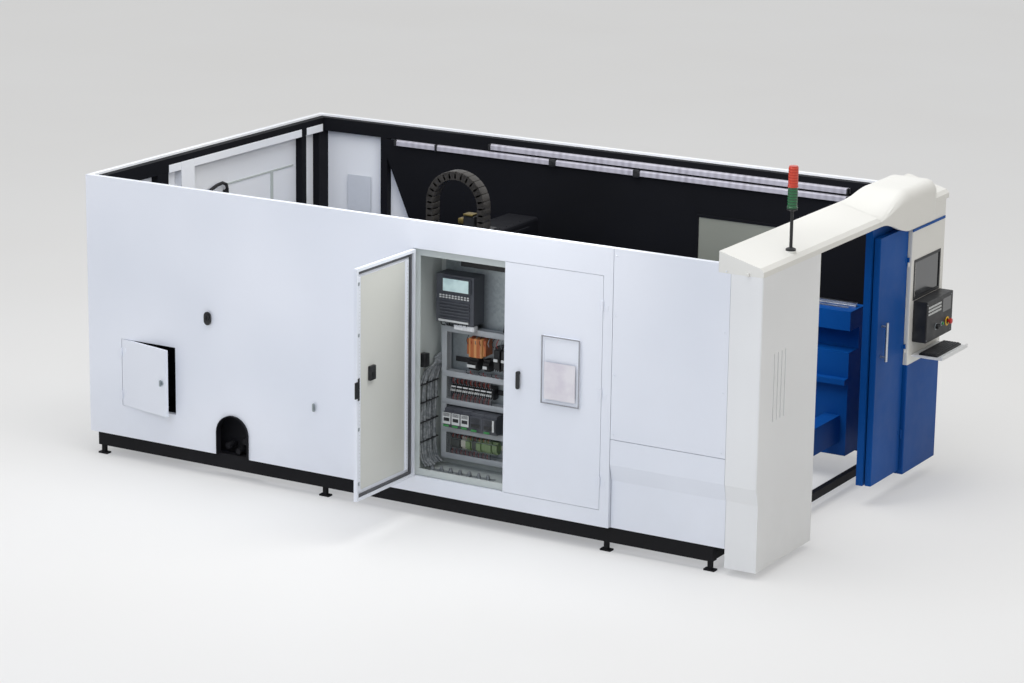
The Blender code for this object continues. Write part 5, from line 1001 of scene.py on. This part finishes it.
def console_details():
    """The screen's bezel, the operator panel's keys, display, collars and screws, and the keyboard's
    keys."""
    shape = bmesh.new()
    loop(shape, "X", 5.4300, 5.4335, (2.468, 1.393, 2.942, 1.687), 0.020)
    piece(shape, "screen_bezel", black_plastic)
    face = spot("operator_panel")[1].x
    shape = bmesh.new()
    key = bmesh.new()
    slab(key, (face - 0.0005, 2.508, 1.335), (face + 0.0030, 2.528, 1.351), 0.0015, 1)
    rows(shape, key, drive_light, 9, (0.0, 0.026, 0.0), 3, (0.0, 0.0, -0.024))
    piece(shape, "operator_keys", drive_light)
    shape = bmesh.new()
    slab(shape, (face - 0.0005, 2.765, 1.262), (face + 0.0015, 2.915, 1.362), 0.001, 1)
    piece(shape, "operator_display", dark_glass)
    shape = bmesh.new()
    collar(shape, (face, 2.8597, 1.18), 0.0225, 0.0340, 0.0040)
    piece(shape, "stop_collar", safety_yellow)
    shape = bmesh.new()
    collar(shape, (face, 2.7597, 1.18), 0.0120, 0.0165, 0.0035)
    collar(shape, (face, 2.6597, 1.18), 0.0200, 0.0240, 0.0020)
    rows(shape, screw((face, 2.490, 1.110), (1, 0, 0), 0.0035), zinc, 2, (0.0, 0.430, 0.0),
         2, (0.0, 0.0, 0.260))
    piece(shape, "control_collars", zinc)
    low, high = spot("keyboard")
    shape = bmesh.new()
    key = bmesh.new()
    slab(key, (low.x + 0.008, low.y + 0.010, high.z - 0.001),
         (low.x + 0.0235, low.y + 0.0255, high.z + 0.0045), 0.0018, 1)
    rows(shape, key, key_plastic, 23, (0.0, 0.0184, 0.0), 6, (0.0205, 0.0, 0.0))
    piece(shape, "keyboard_keys", key_plastic, "tray")


def collar(shape, centre, inner, outer, proud):
    """Adds a bevelled ring that stands proud of a face towards the front."""
    x, y, z = centre
    profile = [(x - 0.0005, inner), (x - 0.0005, outer), (x + proud * 0.5, outer), (x + proud, outer - 0.002),
               (x + proud, inner)]
    sides = 28
    rings = []
    for k in range(sides):
        a = 2 * math.pi * k / sides
        rings.append([shape.verts.new((px, y + r * math.cos(a), z + r * math.sin(a))) for px, r in profile])
    for k in range(sides):
        near, far = rings[k], rings[(k + 1) % sides]
        for i in range(len(profile)):
            j = (i + 1) % len(profile)
            shape.faces.new((near[i], near[j], far[j], far[i]))


def outside_trim():
    """Panel screws, joint strips on the outer walls and the rubber lip round the rear passage."""
    shape = bmesh.new()
    radius = 0.006
    rows(shape, screw((4.372, 0.0, 0.840), (0, -1, 0), radius), white, 2, (0.800, 0.0, 0.0),
         4, (0.0, 0.0, 0.405))
    rows(shape, screw((0.10, 3.040, 0.24), (0, 1, 0), radius), white, 14, (0.40, 0.0, 0.0),
         2, (0.0, 0.0, 1.80))
    for z in (0.24, 2.04):
        rows(shape, screw((0.0, 0.20, z), (-1, 0, 0), radius), white, 1, (0.0, 0.0, 0.0),
             8, (0.0, 0.38, 0.0))
    piece(shape, "panel_screws", white)
    shape = bmesh.new()
    for x in (1.35, 2.70, 4.05):
        slab(shape, (x - 0.002, 3.0398, 0.182), (x + 0.002, 3.0410, 2.098))
    for y in (0.62, 2.42):
        slab(shape, (-0.0004, y - 0.0015, 1.300), (0.0002, y + 0.0015, 2.098))
    piece(shape, "joint_lines", foam)
    shape = bmesh.new()
    loop(shape, "X", -0.006, 0.0, (0.606, 0.726, 2.434, 1.294), 0.018)
    piece(shape, "passage_lip", rubber)


def eased_step(value, low, high):
    """0 below low, 1 above high, and an S-shaped rise between them."""
    t = min(max((value - low) / (high - low), 0.0), 1.0)
    return t * t * (3 - 2 * t)


def rounded_hood():
    """The hood over the header's far end, lofted from the header's own section to a crowned one
    with a hanging lip, and rounded at its far end."""
    header_low, header_high = spot("header_beam")
    hood_low, hood_high = spot("header_hood")
    back, front_face = hood_low.x + 0.001, header_high.x
    edge_x, edge_z, face_z, corner, slope = front_face - 0.025, 2.100, 2.075, 0.110, 0.080
    gap = 0.0001

    def header_top(x):
        """Height of the header's sloped top, and of its bevel, at x."""
        if x < edge_x:
            return edge_z + slope * (edge_x - x) / (edge_x - header_low.x)
        return edge_z - (x - edge_x)

    straight = hood_low.y + 0.44
    turn = hood_high.y - corner
    stations = [hood_low.y + 0.012 * k for k in range(36)]
    stations += [y for y in (straight + 0.05 * k for k in range(9)) if y < turn]
    stations += [turn + corner * math.sin(math.radians(9 * k)) for k in range(10)]
    rings = []
    shape = bmesh.new()
    for y in stations:
        grow = eased_step(y, hood_low.y, hood_low.y + 0.42)
        proud = 0.0004 + 0.0036 * eased_step(y, hood_low.y, hood_low.y + 0.16)
        drop = eased_step(y, hood_low.y + 0.04, hood_low.y + 0.42)
        reach = max(y - turn, 0.0) / corner
        fall = corner * (1 - math.sqrt(1 - min(reach, 1.0) ** 2))
        top = hood_high.z - fall
        front = front_face + proud + grow * (hood_high.x - front_face - proud) - fall * 0.6
        lip = header_low.z + drop * (hood_low.z - header_low.z)
        curve = 0.016 + 0.066 * grow
        outer = [(front, lip), (front, top - curve)]
        outer += [(front - curve + curve * math.cos(a), top - curve + curve * math.sin(a))
                  for a in (math.radians(11.25 * k) for k in range(1, 9))]
        outer += [(back + (front - curve - back) * k / 4, top) for k in (3, 2, 1)]
        outer += [(back + 0.030, top), (back + 0.009, top - 0.009), (back, top - 0.030)]
        section = []
        for x, z in outer:
            low = header_top(x) + proud
            if z > low or x < front_face:
                z = low + (z - low) * grow
            if x <= front_face:
                z = max(z, low)
            if x > front_face - 0.002:
                x = max(x, front_face + proud)
            section.append((x, z))
        section += [(back, header_top(back) + gap), (edge_x, edge_z + gap)]
        section += [(front_face + gap, face_z), (front_face + gap, lip)]
        rings.append([shape.verts.new((x, y, z)) for x, z in section])
    for near, far in zip(rings, rings[1:]):
        for k in range(len(near)):
            shape.faces.new((near[k], near[(k + 1) % len(near)], far[(k + 1) % len(near)], far[k]))
    shape.faces.new(rings[0])
    shape.faces.new(rings[-1])
    piece(shape, "rounded_header_hood", white_painted_warm_light, replaces="header_hood")


def header_trim():
    """The cap that closes the door track's near end, and the blue strip under the hood."""
    under = spot("header_beam")[0].z
    shape = bmesh.new()
    slab(shape, (5.3086, -0.0002, under + 0.0002), (5.3314, 0.030, under + 0.0218))
    piece(shape, "track_end_cap", white_painted_warm_light)
    shape = bmesh.new()
    slab(shape, (5.4303, 2.415, 1.900), (5.4360, 2.995, 1.920), 0.002, 1)
    piece(shape, "console_top_strip", blue)


wall_locks()
hose_arch()
hatch_fittings()
open_door_inside()
slotted_ducts()
controller_face()
device_faces()
cabinet_wiring()
grille_parts()
inner_walls()
lamp_clamps()
chain_links()
gantry_fittings()
bed_fittings()
window_seal()
console_details()
outside_trim()
rounded_hood()
header_trim()


# Stage, lamps and camera

def stage():
    """A pale plain floor that keeps the machine's shadow, and shows pale in glass and metal."""
    mesh = bpy.data.meshes.new("studio_floor")
    size = 60.0
    corners = [(-size, -size, 0), (size, -size, 0), (size, size, 0), (-size, size, 0)]
    mesh.from_pydata(corners, [], [(0, 1, 2, 3)])
    floor = bpy.data.objects.new("studio_floor", mesh)
    scene.collection.objects.link(floor)
    material, tree, shader, place = begin("matt_studio_floor", Roughness=0.9)
    tone = patches(tree, place, 0.3, 2.0, 0.3, 0.7, "E4E3E1", "E8E8E7")[0]
    tree.links.new(tone, shader.inputs["Base Color"])
    path = add(tree, "ShaderNodeLightPath")
    seen = add(tree, "ShaderNodeMath", {0: path.outputs["Is Camera Ray"], 1: path.outputs["Is Glossy Ray"]},
               operation="MAXIMUM")
    share = add(tree, "ShaderNodeMath", {0: seen.outputs[0], 1: 0.40}, operation="MULTIPLY")
    pale = add(tree, "ShaderNodeEmission", {"Color": "EDEEF0", "Strength": 1.0})
    mixed = add(tree, "ShaderNodeMixShader", {0: share.outputs[0], 1: shader.outputs[0], 2: pale.outputs[0]})
    tree.links.new(mixed.outputs[0], tree.nodes["Material Output"].inputs["Surface"])
    mesh.materials.append(material)


def light():
    """One even sky and four wide soft lamps: above, at the camera's left, in front, and one over
    the open top that lights the inner walls at the back."""
    world = bpy.data.worlds.new("studio_sky")
    scene.world = world
    world.use_nodes = True
    tree = world.node_tree
    sky = tree.nodes["Background"]
    sky.inputs["Color"].default_value = linear("FBFAF7")
    sky.inputs["Strength"].default_value = 0.62
    seen = add(tree, "ShaderNodeBackground", {"Color": "EDEEF0", "Strength": 1.0})
    path = add(tree, "ShaderNodeLightPath")
    either = add(tree, "ShaderNodeMath", {0: path.outputs["Is Camera Ray"], 1: path.outputs["Is Glossy Ray"]},
                 operation="MAXIMUM")
    through = add(tree, "ShaderNodeMath", {0: either.outputs[0], 1: path.outputs["Is Transmission Ray"]},
                  operation="MAXIMUM")
    mixed = add(tree, "ShaderNodeMixShader", {0: through.outputs[0], 1: sky.outputs[0], 2: seen.outputs[0]})
    tree.links.new(mixed.outputs[0], tree.nodes["World Output"].inputs["Surface"])
    middle = (0.0, 0.0, 1.0)
    for name, place, target, size, power, tint in (
        ("lamp_above", (0.2, -1.5, 8.5), middle, 7.0, 405.0, "FFFFFF"),
        ("lamp_left", (0.5, -12.0, 8.0), middle, 7.0, 322.0, "DDE7FF"),
        ("lamp_front", (10.0, 0.0, 6.0), middle, 5.0, 26.0, "FFDDB4"),
        ("lamp_inside", (1.2, -0.9, 3.7), (-2.6, 1.3, 1.7), 2.0, 60.0, "FBFAF7"),
    ):
        data = bpy.data.lights.new(name, "AREA")
        data.size = size
        data.energy = power
        data.color = linear(tint)[:3]
        lamp = bpy.data.objects.new(name, data)
        lamp.location = place
        lamp.rotation_euler = (Vector(target) - Vector(place)).to_track_quat("-Z", "Y").to_euler()
        scene.collection.objects.link(lamp)


def camera():
    """The photograph's standpoint, aimed at the machine with a long lens."""
    data = bpy.data.cameras.new("camera")
    data.lens = 109.0
    eye = bpy.data.objects.new("camera", data)
    scene.collection.objects.link(eye)
    yaw, pitch, roll = math.radians(30.23), math.radians(14.47), math.radians(0.78)
    turn = Matrix.Rotation(yaw, 4, "Z") @ Matrix.Rotation(math.pi / 2 - pitch, 4, "X")
    turn = turn @ Matrix.Rotation(roll, 4, "Z")
    eye.matrix_world = Matrix.Translation(Vector((13.729, -17.399, 6.564)) + CORNER) @ turn
    scene.camera = eye


stage()
light()
camera()
scene.view_settings.view_transform = "Standard"
